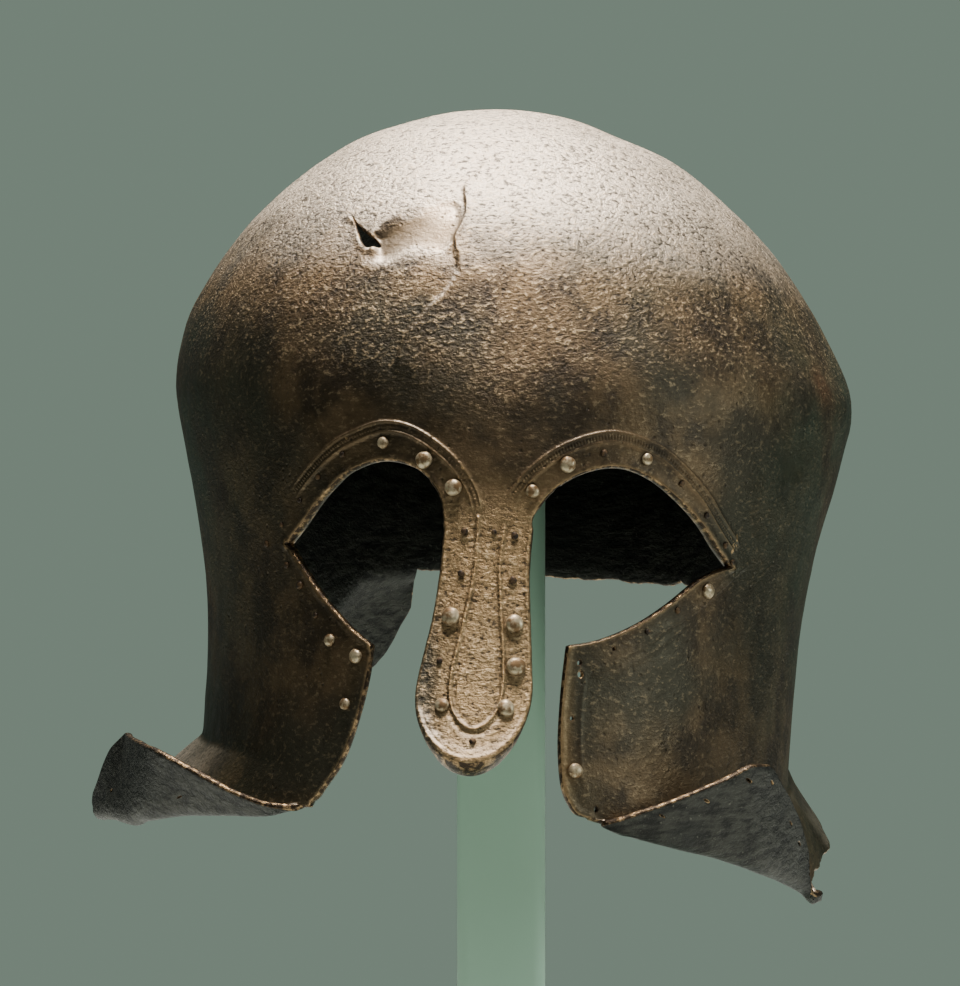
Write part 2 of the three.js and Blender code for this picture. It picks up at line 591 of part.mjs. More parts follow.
// The post's socket in the crown rest, brought into the helmet's own frame.
leaning.updateMatrixWorld(true);
const toHelmet = helmet.matrixWorld.clone().invert();
const socket = upright(POST.side + 2 * GAP, POST.corner, 0, POST.top + GAP).applyMatrix4(toHelmet);

helmet.add(piece('helmet_shell', toGeometry(helmetShell()), bronze));
helmet.add(piece('crown_rest', toGeometry(crownRest().subtract(toManifold(socket))), paint));
for (const [name, stud] of Object.entries(STUDS)) helmet.add(studPiece(name, stud));

stand.add(piece('stand_base', upright(BASE.side, BASE.corner, 0, BASE.thick), paint));
stand.add(piece('stand_post', upright(POST.side, POST.corner, BASE.thick + GAP, POST.top), paint));
stand.add(leaning);

export default stand;
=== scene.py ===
"""A bronze Corinthian helmet on a plain post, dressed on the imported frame.

The shell is one closed sheet. Its outer skin is worked out on a flat map of the
helmet (crown in the middle, free edge outside), triangulated there with finer
cells near borders and relief, and then bent to shape. Lengths are millimetres
in the helmet's own frame until place() turns them into metres of the row frame.
"""

import math

import bpy
import numpy as np
from mathutils import Matrix, Vector
from mathutils.geometry import delaunay_2d_cdt
from mathutils.kdtree import KDTree


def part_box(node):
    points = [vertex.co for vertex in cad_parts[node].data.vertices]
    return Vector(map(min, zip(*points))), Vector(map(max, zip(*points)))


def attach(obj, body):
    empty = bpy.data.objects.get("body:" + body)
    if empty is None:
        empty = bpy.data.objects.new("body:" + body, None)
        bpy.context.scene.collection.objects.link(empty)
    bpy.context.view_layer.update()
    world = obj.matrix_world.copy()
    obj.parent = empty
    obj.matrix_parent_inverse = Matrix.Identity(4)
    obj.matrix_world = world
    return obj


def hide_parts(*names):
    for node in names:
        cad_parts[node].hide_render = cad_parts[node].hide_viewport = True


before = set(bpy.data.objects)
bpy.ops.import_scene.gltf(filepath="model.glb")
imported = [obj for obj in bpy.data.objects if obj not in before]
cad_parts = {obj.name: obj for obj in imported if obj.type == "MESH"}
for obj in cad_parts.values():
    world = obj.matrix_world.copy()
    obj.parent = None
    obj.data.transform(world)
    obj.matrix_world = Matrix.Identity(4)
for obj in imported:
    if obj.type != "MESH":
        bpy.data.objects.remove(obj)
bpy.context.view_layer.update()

MM = 0.001
BODY = "root"

# ---- the helmet's place in the row frame ---------------------------------
HELMET_AT = np.array([4.0, 0.0, 278.0])
ROLL = math.radians(3.5)
YAW = math.radians(-3.0)
WALL = 1.8
HOLLOW_MIDDLE = (0, 0, -20)

# Level sections of the skull, crown to cheek: height, then the distance from
# the helmet's middle to the left, right, front and back of the ring.
SECTIONS = np.array([
    (80.8, 6, -6, -3, 3), (79, 23, 12, 22, 27), (74.7, 37.5, 26, 41, 47),
    (67.8, 52.4, 42.6, 60, 66), (57, 66.2, 57.7, 78, 85), (45, 77.7, 70.4, 92, 99),
    (32, 86.6, 81, 102, 110), (19, 93.5, 89, 108.5, 117.5), (7, 96.5, 95, 112.5, 122.5),
    (-2, 97, 96.3, 114.5, 124.5), (-10, 95.7, 94.8, 115.5, 124), (-22, 92.5, 92.4, 116.5, 120.5),
    (-38, 88, 88.3, 117.5, 114.5), (-58, 83.5, 85.4, 119.5, 110), (-80, 81.5, 84.4, 123, 109),
    (-104, 81.5, 84, 127, 109.5), (-140, 81.5, 84, 133, 111)], float)

# The lower border by compass angle (0 front, 90 right, 180 back). Columns:
# angle, wall height, fold out, fold height, turn, edge out, edge height, break.
# "break" is how ragged the free edge is, from 0 to 1.
BORDER = np.array([
    (-180, -50, 0, -51.7, 0, 0, -53.3, 0.6), (-157.2, -50, 0, -51.7, 0, 0, -53.4, 0.6),
    (-156.4, -54, 4, -58, -2.4, 7, -66, 1), (-154.5, -54.4, 4.8, -59.5, -2.5, 9.5, -73, 1),
    (-152.5, -54.7, 5.4, -61, -2.5, 11, -80, 1), (-150, -55, 6, -63, -2.3, 12, -85.4, 1),
    (-145, -56.5, 7, -68, 0, 13, -93, 0.8), (-138, -66, 7, -78, 0, 15, -101, 0.5),
    (-125, -86, 7, -95, 0, 16, -110, 0.3), (-108, -97, 9, -106, 0, 18, -116, 0.3),
    (-97, -101, 18, -117, 0, 25, -121, 0.3), (-89, -101, 27.2, -127.2, 0, 29, -123.5, 0.3),
    (-84, -101, 27.8, -126.8, 1, 28.4, -119.7, 0.3), (-79, -101, 25.9, -127.9, 1, 26, -110.9, 0.3),
    (-76.5, -101, 25, -128.1, 1.5, 23.9, -104.6, 0.3), (-74, -101, 24.1, -128.1, 2, 20.8, -100.8, 0.3),
    (-70, -101, 20.7, -128.4, 5, 20.9, -101.4, 0.2), (-67, -101, 19.4, -126.2, 7, 20.9, -101.8, 0.2),
    (-64.5, -101, 18, -125.2, 8, 20.9, -102.2, 0.1), (-58, -101, 12, -121.4, 9, 14.7, -106.7, 0),
    (-48, -102, 7, -118.4, 6, 9.6, -111.1, 0), (-39.5, -104, 3.6, -116.2, 3, 5.7, -113, 0),
    (-31, -104, 0.4, -111, 0, 0.5, -113.2, 0), (0, -104, 0.4, -110, 0, 0.5, -112, 0),
    (23.5, -103, 0.4, -110, 0, 0.5, -111.6, 0), (25.5, -103, 1.1, -113, -1.5, 1.6, -111.3, 0),
    (30, -103, 2.6, -115.5, -3.5, 4.7, -109.6, 0), (36.5, -103, 4.9, -118.7, -6.5, 8, -106.9, 0),
    (44, -103, 8, -122.4, -7.5, 12.9, -101.5, 0), (47.5, -103.5, 9.5, -124.5, -7.6, 15.1, -98.6, 0),
    (51, -104, 11, -126.6, -7.7, 17.7, -95.2, 0), (54, -105, 11.6, -128.2, -8, 17.8, -95.2, 0),
    (58, -105, 12.1, -130, -7.5, 16.7, -99.9, 0.1), (62, -106, 12.4, -131.6, -7, 16.4, -106.6, 0.2),
    (66, -106, 13.6, -133.2, -4, 14.6, -117.9, 0.3), (69, -107, 14.7, -134, -2, 15.6, -131.3, 0.4),
    (74, -107, 6, -118, 0, 11.6, -130.6, 1), (79, -107, 5.5, -115.5, 0, 11.1, -127.6, 1),
    (84, -106, 5, -113, 0, 11.4, -124.8, 1), (88, -105, 5, -112, 0, 13.2, -122.6, 1),
    (94, -103, 4, -109, 0, 12, -119, 0.8), (98, -100, 3, -106, 0, 10.5, -115.6, 0.8),
    (102, -96, 2, -102, 0, 7.9, -112, 1), (108, -88, 0, -90, 0, 0, -92, 1),
    (120, -69, 0, -71, 0, 0, -73, 1), (132, -55, 0, -56.5, 0, 0, -58, 0.8),
    (143, -50.8, 0, -52, 0, 0, -53.2, 0.6), (160, -50, 0, -51.7, 0, 0, -53.4, 0.6),
    (180, -50, 0, -51.7, 0, 0, -53.3, 0.6)], float)
FOLD_ROUND = 0.34

# Outline of eyes, nose guard and cheek fronts, seen from the front (x, z).
LEFT_BROW = [(-54.2, -45.2), (-50, -39.6), (-46, -33.6), (-42, -28.8), (-37, -24.4),
             (-28.5, -21.2), (-20, -22.4), (-15, -26.2), (-11.9, -31), (-10.8, -38)]
NOSE = [(-10.8, -38), (-11.1, -49), (-12.3, -62), (-14, -72), (-15, -79), (-14.7, -84.5),
        (-12.6, -89.8), (-9.2, -93.9), (-4.6, -96.6), (0, -97.4), (4.4, -96.6), (8.8, -93.9),
        (12.2, -89.8), (14.3, -84.5), (15, -79), (14.4, -72), (13.3, -62), (12, -49), (12, -38)]
RIGHT_BROW = [(12, -38), (11.6, -34.5), (13, -31.4), (17.4, -25.8), (24.7, -21.2),
              (33.3, -19.3), (41.9, -21.7), (49.9, -27.3), (56, -33.2), (60.6, -39.4), (64.8, -44.4)]
RIGHT_CHEEK_TOP = [(64.8, -44.4), (57, -47.7), (48, -55.4), (40, -61), (31, -65.2), (23.2, -67)]
RIGHT_CHEEK_FRONT = [(23.2, -67), (22.6, -81), (22.9, -93), (24.6, -104), (27.5, -109),
                     (31.5, -111)]
LEFT_CHEEK_FRONT = [(-41.5, -111.6), (-39, -108.4), (-34.5, -100.5), (-31.2, -90), (-29, -79),
                    (-28.2, -70)]
LEFT_CHEEK_TOP = [(-28.2, -70), (-34, -66.2), (-42, -59), (-49.4, -50.6), (-54.2, -45.2)]

# How far the nose guard's face stands ahead of the skull, by height, how much
# its face is crowned, and the half widths between which it fades out.
NASAL_Z = np.array([-130, -104, -96.4, -93.5, -89.5, -84.5, -79, -72, -62, -49, -38, -25], float)
NASAL_AHEAD = np.array([27, 19.5, 15.8, 14.3, 12.4, 10.4, 8.6, 6.8, 4.6, 2.4, 0.9, -0.3])
NASAL_CROWN = 1.2
NASAL_EDGE = (15.6, 21.5)
NASAL_TOP = -25


def smooth(low, high, value):
    """A soft step from 0 at low to 1 at high; low may be the larger one."""
    t = np.clip((np.asarray(value, float) - low) / (high - low), 0, 1)
    return t * t * (3 - 2 * t)


def catmull(a, b, c, d, t):
    """Catmull-Rom curve from b to c."""
    return 0.5 * (2 * b + (c - a) * t + (2 * a - 5 * b + 4 * c - d) * t ** 2
                  + (3 * b - a - 3 * c + d) * t ** 3)


def section(row):
    """Heights and half sizes of the rings at these fractional rows."""
    mirrored = np.concatenate([[SECTIONS[1, 0]], 2 * SECTIONS[0, 1:] - SECTIONS[1, 1:]])
    table = np.vstack([mirrored, SECTIONS, 2 * SECTIONS[-1] - SECTIONS[-2]])
    row = np.clip(np.asarray(row, float), 0, len(SECTIONS) - 1)
    i = np.minimum(row.astype(int), len(SECTIONS) - 2)
    t = (row - i)[..., None]
    return catmull(table[i], table[i + 1], table[i + 2], table[i + 3], t)


ROW_STEPS = 200
ROWS = np.linspace(0, len(SECTIONS) - 1, ROW_STEPS * (len(SECTIONS) - 1) + 1)
RINGS = section(ROWS)


def row_of(z):
    """Fractional row of the ring at this height."""
    return np.interp(-np.asarray(z, float), -RINGS[:, 0], ROWS)


def skull(angle, row):
    """Points of the skull's outer face, nose guard included."""
    s = section(row)
    z, left, right, front, back = (s[..., i] for i in range(5))
    x = (right - left) / 2 + (right + left) / 2 * np.sin(angle)
    y = (back - front) / 2 - (back + front) / 2 * np.cos(angle)
    guard = (1 - smooth(*NASAL_EDGE, np.abs(x))) * (np.cos(angle) > 0)
    aside = np.clip(np.abs(x) / NASAL_EDGE[0], 0, 1) ** 2
    ahead = np.interp(z, NASAL_Z, NASAL_AHEAD) * (z < NASAL_TOP)
    crowned = smooth(NASAL_TOP - 5, NASAL_TOP - 20, z)
    y = y - guard * (ahead - NASAL_CROWN * aside * crowned)
    return np.stack([x, y, z], -1)


def cubic_through(x, y, at):
    """Smooth curve through (x, y) that never overshoots between two rows."""
    step = np.diff(x)
    rise = np.diff(y) / step
    slope = np.zeros_like(y)
    both = rise[:-1] * rise[1:] > 0
    total = step[:-1] + step[1:]
    harmonic = 3 * total / ((2 * step[1:] + step[:-1]) / np.where(both, rise[:-1], 1)
                            + (step[1:] + 2 * step[:-1]) / np.where(both, rise[1:], 1))
    slope[1:-1] = np.where(both, harmonic, 0)
    i = np.clip(np.searchsorted(x, at, side="right") - 1, 0, len(x) - 2)
    h = step[i]
    t = (at - x[i]) / h
    return ((1 + 2 * t) * (1 - t) ** 2 * y[i] + t * (1 - t) ** 2 * h * slope[i]
            + t * t * (3 - 2 * t) * y[i + 1] + t * t * (t - 1) * h * slope[i + 1])


def border(degrees):
    """The seven measures of BORDER at these compass angles."""
    return [cubic_through(BORDER[:, 0], BORDER[:, i], degrees) for i in range(1, 8)]


def beside_wall(angle, wall_z, out, z):
    """Points a distance out from the wall's foot, at height z."""
    row = row_of(wall_z)
    p = skull(angle, row)
    nudge = 0.01
    along = skull(angle + nudge, row) - skull(angle - nudge, row)
    outward = np.stack([along[..., 1], -along[..., 0]], -1)
    outward /= np.linalg.norm(outward, axis=-1, keepdims=True)
    xy = p[..., :2] + outward * np.asarray(out)[..., None]
    return np.concatenate([xy, np.broadcast_to(z, xy.shape[:-1])[..., None]], -1)


def hem(angle):
    """Wall, fold and edge points of the lower border, and its two lengths."""
    degrees = np.degrees(angle)
    wall_z, fold_out, fold_z, turn, edge_out, edge_z, _ = border(degrees)
    wall = skull(angle, row_of(wall_z))
    fold = beside_wall(angle, wall_z, fold_out, fold_z)
    edge = beside_wall(angle + np.radians(turn), wall_z, edge_out, edge_z)
    down = np.linalg.norm(fold - wall, axis=-1)
    up = np.linalg.norm(edge - fold, axis=-1)
    return wall_z, wall, fold, edge, down, up


# ---- the flat map ----------------------------------------------------------
HEM_RADIUS = 95.0
FLAT_CROWN_ROWS = 40


def map_radii():
    """Map radius of each ring, so that small squares stay square."""
    ring = RINGS[:, 1:].mean(axis=1)
    step = np.hypot(np.diff(RINGS[:, 0]), np.diff(ring))
    middle = np.maximum((ring[1:] + ring[:-1]) / 2, 1e-3)
    start = FLAT_CROWN_ROWS
    growth = np.concatenate([[0], np.cumsum(step[start:] / middle[start:])])
    radii = np.empty_like(ring)
    radii[start:] = ring[start] * np.exp(growth)
    radii[:start] = ring[:start]
    return radii, ring


MAP_RADII, RING_RADII = map_radii()


def radius_at(z):
    """Map radius of the skull's ring at this height."""
    return np.interp(row_of(z), ROWS, MAP_RADII)


def to_map(angle, radius):
    """Map point of a compass angle and a map radius."""
    return np.stack([radius * np.sin(angle), -radius * np.cos(angle)], -1)


def from_map(points):
    """Compass angle and map radius of map points."""
    x, y = points[..., 0], points[..., 1]
    return np.arctan2(x, -y), np.hypot(x, y)


def shape(points):
    """The outer face at these map points, before any relief."""
    angle, radius = from_map(points)
    wall_z, wall, fold, edge, down, up = hem(angle)
    wall_radius = radius_at(wall_z)
    on_skull = skull(angle, np.interp(radius, MAP_RADII, ROWS))
    run = np.clip(np.log(np.maximum(radius / wall_radius, 1)) * HEM_RADIUS, 0, down + up)
    before, after = down * (1 - FOLD_ROUND), down + up * FOLD_ROUND
    t1 = np.clip(run / down, 0, 1)[..., None]
    t2 = np.clip((run - down) / np.maximum(up, 1e-6), 0, 1)[..., None]
    t = np.clip((run - before) / (after - before), 0, 1)[..., None]
    start = wall + (fold - wall) * (1 - FOLD_ROUND)
    end = fold + (edge - fold) * FOLD_ROUND
    bend = (1 - t) ** 2 * start + 2 * t * (1 - t) * fold + t ** 2 * end
    above_fold = (run < down)[..., None]
    straight = np.where(above_fold, wall + (fold - wall) * t1, fold + (edge - fold) * t2)
    on_hem = np.where(((run > before) & (run < after))[..., None], bend, straight)
    return np.where((radius < wall_radius)[..., None], on_skull, on_hem)


def map_scale(points):
    """Millimetres on the helmet for one unit on the map."""
    _, radius = from_map(points)
    ring = np.interp(radius, MAP_RADII, RING_RADII)
    smallest = 0.5
    return np.maximum(ring, smallest) / np.maximum(radius, smallest)


def front_to_map(points):
    """Map points of places given from the front (x, z)."""
    x, z = np.asarray(points, float).T
    row = row_of(z)
    _, left, right, _, _ = section(row).T
    share = (x - (right - left) / 2) / ((right + left) / 2)
    angle = np.arcsin(np.clip(share, -1, 1))
    wall_z, _, fold, edge, down, up = hem(angle)
    radius = np.interp(row, ROWS, MAP_RADII)
    below = z < wall_z
    wall_radius = radius_at(wall_z)
    depth = np.where(z > fold[:, 2], (wall_z - z) / (wall_z - fold[:, 2]) * down,
                     down + (fold[:, 2] - z) / np.maximum(fold[:, 2] - edge[:, 2], 1e-6) * up)
    hem_radius = wall_radius * np.exp(np.clip(depth, 0, down + up) / HEM_RADIUS)
    return to_map(angle, np.where(below, hem_radius, radius))


def resampled(points, step):
    """A smooth line through the points, cut into pieces of about step."""
    p = np.asarray(points, float)
    ends = np.vstack([2 * p[0] - p[1], p, 2 * p[-1] - p[-2]])
    fine = []
    t = np.linspace(0, 1, 24, endpoint=False)[:, None]
    for i in range(len(p) - 1):
        fine.append(catmull(ends[i], ends[i + 1], ends[i + 2], ends[i + 3], t))
    line = np.vstack(fine + [p[-1:]])
    lengths = np.linalg.norm(np.diff(line, axis=0), axis=1)
    run = np.concatenate([[0], np.cumsum(lengths)])
    stops = np.linspace(0, run[-1], max(2, int(round(run[-1] / step)) + 1))
    return np.stack([np.interp(stops, run, line[:, k]) for k in range(p.shape[1])], -1)


def map_line(points, step):
    """A smooth line on the map through places given from the front."""
    return front_to_map(resampled(points, step))


# ---- lines on the helmet ---------------------------------------------------
# Middle lines of the beaded borders, the tongue on the nose guard, the lines
# under the right eye and along the cheek fronts, the crack and the tear in the
# crown, and the fold by the right temple.
LEFT_RIDGE = [(-54, -33), (-48, -25.2), (-43, -19.8), (-37.4, -16), (-29.3, -12.8), (-22, -13.4),
              (-14.6, -17.2), (-8.4, -22.4), (-4.2, -28.4), (-2.4, -34)]
RIGHT_RIDGE = [(5.4, -34), (6.8, -28.4), (11, -22.4), (18.6, -16.2), (27.7, -12.4), (34.4, -12),
               (43.6, -14.8), (49.6, -19.2), (55.8, -25.4), (61, -33), (66, -40)]
TONGUE = [(-2.2, -35), (-2, -46.8), (-3.2, -57.2), (-4.9, -68), (-6.1, -76), (-5.7, -82.3),
          (-3.2, -87), (0.4, -88.9), (4, -87.4), (6.8, -82.7), (7.4, -77), (6.6, -67), (5.2, -56.7),
          (4.3, -46.4), (4.8, -37)]
CHEEK_LINES = [
    [(28.2, -72.3), (34, -70.8), (42.6, -66.1), (48.3, -61.4), (57, -55), (62, -50.1),
     (66.4, -45.6), (71, -42)],
    [(29, -74.8), (35, -73), (43.5, -68.4), (49.3, -63.6), (55, -59)],
    [(28.2, -72.3), (27.6, -82), (28, -93), (29.4, -103)],
    [(-33, -74), (-34.4, -84), (-37, -94), (-41, -102)]]
CRACK = [(-7.7, 61.5), (-10.2, 57.5), (-12.9, 53.8), (-12.6, 50.4), (-11.8, 47), (-12.4, 42.8),
         (-13.9, 38.2), (-12.3, 31.5), (-12.8, 28.2), (-14.9, 24), (-18.9, 19.3), (-21.9, 15.2),
         (-25, 12.3), (-25.6, 8.7), (-26.7, 4.8), (-27, -0.6)]
TEAR = [(-43.3, 43.9), (-40.6, 41.1), (-38.2, 39.4), (-34.4, 36.3), (-36.2, 35),
        (-38.6, 35.1), (-40.6, 38.2)]
TEMPLE = [(64.7, 6.4), (71.6, 4.3), (81.7, 3.7), (88.8, 2.3), (93, 1.4)]

# The smooth dent beside the tear and the sunken patch by the right temple.
DENT = [(-36.6, 38.8), (-33.4, 40.8), (-29.4, 43), (-24.4, 46.2), (-19.3, 49.6), (-14.3, 49.1),
        (-12.6, 47), (-12.4, 42.8), (-13.9, 38.2), (-17.2, 34), (-23.1, 35.3), (-27, 33.8),
        (-32, 31), (-36.6, 30.3), (-36, 34)]
SUNKEN = [(75.7, -11.3), (81.7, -10.7), (82.3, -19.4), (76.1, -19.8)]

# Pierced holes: place from the front and radius, then on the bent corners
# (angle, share of the way from fold to free edge, radius).
CHEEK_HOLES = [(26.4, -71, 0.9), (26.8, -74, 1.1), (25.4, -85.4, 0.8), (32.8, -108.4, 0.8),
               (35, -67, 0.7)]
FLAP_HOLES = [(37, 0.84, 0.7), (44, 0.86, 0.7), (50, 0.9, 0.8), (55, 0.88, 0.7), (60.5, 0.74, 0.8),
              (63, 0.66, 0.8), (66, 0.5, 0.7), (-75, 0.42, 0.7), (-59, 0.5, 0.7)]

# The free edge: how far it is broken back, the compass angles where it starts,
# its step in degrees, and the number of breaks all round.
RAGGED = 1.5
LEFT_FREE_FROM = -31.6
RIGHT_FREE_FROM = 24
FREE_STEP = 0.42
COARSE_BREAKS = 120
FINE_BREAKS = 480


def ragged(degrees, amount):
    """How far the free edge is broken back, in millimetres."""
    seeded = np.random.default_rng(11)
    coarse = seeded.random(COARSE_BREAKS + 1)
    fine = seeded.random(FINE_BREAKS + 1)
    share = (np.asarray(degrees) + 180) / 360
    large = np.interp(share * COARSE_BREAKS, np.arange(COARSE_BREAKS + 1), coarse) ** 2
    small = np.interp(share * FINE_BREAKS, np.arange(FINE_BREAKS + 1), fine)
    return amount * RAGGED * (1.6 * large + 0.5 * small)


def free_edge(degrees):
    """Map points of the lower border at these compass angles."""
    angle = np.radians(degrees)
    wall_z, _, _, _, down, up = hem(angle)
    broken = border(degrees)[6]
    run = np.maximum(down + up - ragged(degrees, broken), 0.5)
    return to_map(angle, radius_at(wall_z) * np.exp(run / HEM_RADIUS))


def outline():
    """The sheet's border on the map, one closed line."""
    left = np.arange(LEFT_FREE_FROM, -180, -FREE_STEP)
    right = np.arange(180, RIGHT_FREE_FROM, -FREE_STEP)
    face = [resampled(line[::-1], step) for line, step in (
        (RIGHT_CHEEK_FRONT, 0.7), (RIGHT_CHEEK_TOP, 0.6), (RIGHT_BROW, 0.5), (NOSE, 0.5),
        (LEFT_BROW, 0.5), (LEFT_CHEEK_TOP, 0.6), (LEFT_CHEEK_FRONT, 0.7))]
    joined = np.vstack([part[:-1] for part in face] + [face[-1][-1:]])
    return np.vstack([free_edge(left), free_edge(right), front_to_map(joined)])


def ring_on_map(centre, radius, sides=12):
    """A round hole's edge as map points."""
    turn = np.linspace(0, 2 * math.pi, sides, endpoint=False)
    return centre + radius / map_scale(centre) * np.stack([np.cos(turn), np.sin(turn)], -1)


def hole_rings():
    """The edges of every pierced hole and of the tear, on the map."""
    rings = [ring_on_map(front_to_map([(x, z)])[0], r) for x, z, r in CHEEK_HOLES]
    for degrees, share, r in FLAP_HOLES:
        angle = np.radians(np.array([float(degrees)]))
        wall_z, _, _, _, down, up = hem(angle)
        wall_radius = radius_at(wall_z)
        radius = wall_radius * np.exp((down + up * share) / HEM_RADIUS)
        rings.append(ring_on_map(to_map(angle, radius)[0], r))
    rings.append(front_to_map(resampled(TEAR + TEAR[:1], 0.5)[:-1]))
    return rings


def crease_lines():
    """Map lines of the wall's foot and of the fold, all round."""
    angle = np.radians(np.arange(-180, 180, 0.6))
    wall_z, _, _, _, down, _ = hem(angle)
    wall = radius_at(wall_z)
    return [to_map(angle, wall), to_map(angle, wall * np.exp(down / HEM_RADIUS))]


def nearest(line, points):
    """Distance to the line, run along it, side of it (-1 or 1) and its length, in mm."""
    scale = map_scale(line)
    steps = np.linalg.norm(np.diff(line, axis=0), axis=1) * (scale[1:] + scale[:-1]) / 2
    run = np.concatenate([[0], np.cumsum(steps)])
    best = np.full(len(points), 1e9)
    where = np.zeros(len(points))
    side = np.zeros(len(points))
    for i in range(len(line) - 1):
        a, d = line[i], line[i + 1] - line[i]
        away = points - a
        t = np.clip(away @ d / (d @ d), 0, 1)
        gap = np.linalg.norm(away - t[:, None] * d, axis=1)
        closer = gap < best
        best = np.where(closer, gap, best)
        where = np.where(closer, run[i] + t * steps[i], where)
        side = np.where(closer, np.sign(d[0] * away[:, 1] - d[1] * away[:, 0]), side)
    return best * map_scale(points), where, side, run[-1]


# ---- cells and triangles ---------------------------------------------------
# The largest cell, how fast cells grow away from detail, and the slack before
# a cell is split.
COARSE = 3.0
GROW = 0.4
SPLIT_OVER = 1.32


def spacing_lines(border_line, holes):
    """(points on the map, cell size, reach) for everything that needs detail."""
    front = map_line(NOSE, 0.5)
    ridges = np.vstack([map_line(line, 0.4) for line in (LEFT_RIDGE, RIGHT_RIDGE)])
    cheeks = np.vstack([map_line(line, 0.5) for line in CHEEK_LINES])
    wall_foot, fold = crease_lines()
    return [(ridges, 0.34, 1.9), (map_line(TONGUE, 0.4), 0.42, 1.2),
            (front, 0.5, 2.4), (border_line, 0.9, 0.8), (cheeks, 0.55, 0.9),
            (map_line(CRACK, 0.5), 0.7, 1.6), (np.vstack(holes), 0.6, 0.5),
            (fold, 1.2, 2.5), (wall_foot, 1.6, 1.5)]


def wanted(points, lines):
    """Cell size that the detail near each point asks for."""
    size = np.full(len(points), COARSE)
    scale = map_scale(points)
    for line, cell, reach in lines:
        gap = distance_to(line, points) * scale
        size = np.minimum(size, cell + np.maximum(gap - reach, 0) * GROW)
    return size


def distance_to(line, points):
    """Distance on the map from each point to the nearest point of a line."""
    tree = KDTree(len(line))
    for i, (x, y) in enumerate(line):
        tree.insert((x, y, 0), i)
    tree.balance()
    return np.array([tree.find((x, y, 0))[2] for x, y in points])


def cell_middles(border_line, holes):
    """Middles of square cells, split until each is as small as it has to be."""
    lines = spacing_lines(border_line, holes)
    reach = np.abs(border_line).max() * 1.02
    count = 24
    side = 2 * reach / count
    axis = -reach + side * (np.arange(count) + 0.5)
    todo = np.stack(np.meshgrid(axis, axis), -1).reshape(-1, 2)
    kept = []
    while len(todo):
        near = np.hypot(*todo.T) < reach * 1.05
        todo = todo[near]
        big = side * map_scale(todo) > wanted(todo, lines) * SPLIT_OVER
        kept.append(todo[~big])
        quarter = side / 4
        offsets = quarter * np.array([(-1, -1), (1, -1), (-1, 1), (1, 1)])
        todo = (todo[big][:, None, :] + offsets).reshape(-1, 2)
        side /= 2
    points = np.vstack(kept)
    points = points[inside([border_line] + holes, points)]
    gap = distance_to(np.vstack([border_line] + holes), points) * map_scale(points)
    return points[gap > 0.45 * np.minimum(wanted(points, lines), 1)]


def inside(loops, points):
    """Even-odd test against all the loops together."""
    result = np.zeros(len(points), bool)
    x, y = points.T
    for loop in loops:
        ends = np.roll(loop, -1, axis=0)
        for (x0, y0), (x1, y1) in zip(loop, ends):
            if y0 == y1:
                continue
            crosses = (y0 > y) != (y1 > y)
            result ^= crosses & (x < (x1 - x0) * (y - y0) / (y1 - y0) + x0)
    return result


def triangulated():
    """Map points and triangles of the whole sheet."""
    border_line = outline()
    holes = hole_rings()
    loops = [border_line] + holes
    edges = []
    start = 0
    for loop in loops:
        n = len(loop)
        edges += [(start + i, start + (i + 1) % n) for i in range(n)]
        start += n
    points = np.vstack(loops + [cell_middles(border_line, holes)])
    result = delaunay_2d_cdt([Vector(p) for p in points], edges, [], 0, 1e-6, False)
    flat = np.array([(v.x, v.y) for v in result[0]])
    triangles = np.array([f for f in result[2] if len(f) == 3])
    middles = flat[triangles].mean(axis=1)
    triangles = triangles[inside(loops, middles)]
    used = np.unique(triangles)
    renumber = np.full(len(flat), -1)
    renumber[used] = np.arange(len(used))
    return flat[used], renumber[triangles]


# ---- relief and thickness --------------------------------------------------
def bump(distance, width):
    """A round ridge, 1 high at distance 0."""
    return np.exp(-(distance / width) ** 2)


# Large primes that scatter the noise lattice's cell numbers.
HASH_AXES = (73856093, 19349663, 83492791)
HASH_SEED = 7919
HASH_MIX = 1274126177
KEEP_POSITIVE = 1000


def lattice_noise(points, size, seed):
    """Smooth noise of about -1 to 1 with features of this size."""
    p = points / size + KEEP_POSITIVE
    cell = np.floor(p).astype(np.int64)
    f = p - cell
    f = f * f * (3 - 2 * f)

    def corner(*step):
        n = seed * HASH_SEED
        for axis in range(3):
            n = (cell[:, axis] + step[axis]) * HASH_AXES[axis] ^ n
        n = (n ^ (n >> 13)) * HASH_MIX & 0x7FFFFFFF
        return ((n ^ (n >> 16)) & 0xFFFF) / 32767.5 - 1

    def across(dy, dz):
        return corner(0, dy, dz) * (1 - f[:, 0]) + corner(1, dy, dz) * f[:, 0]

    low = across(0, 0) * (1 - f[:, 1]) + across(1, 0) * f[:, 1]
    high = across(0, 1) * (1 - f[:, 1]) + across(1, 1) * f[:, 1]
    return low * (1 - f[:, 2]) + high * f[:, 2]


BEAD_PITCH = 0.95


def beaded_border(line, points):
    """Two thin lines with a row of beads between them."""
    gap, run, _, length = nearest(line, points)
    ends = smooth(0, 10, run) * smooth(0, 4, length - run)
    lines = 0.42 * bump(gap - 1.3, 0.36)
    beads = 0.45 * bump(gap, 0.46) * (0.5 + 0.5 * np.cos(run * 2 * math.pi / BEAD_PITCH))
    return ends * (lines + beads + 0.14 * (1 - smooth(1.6, 2.4, gap)))


def within(area, points):
    """Signed distance in millimetres, positive inside an area seen from the front."""
    loop = front_to_map(area + area[:1])
    gap, _, _, _ = nearest(loop, points)
    return np.where(inside([loop[:-1]], points), gap, -gap)


# Hammering over the whole sheet: feature size, height and seed.
HAMMERING = ((26, 0.3, 1), (11, 0.16, 2), (5, 0.08, 3))


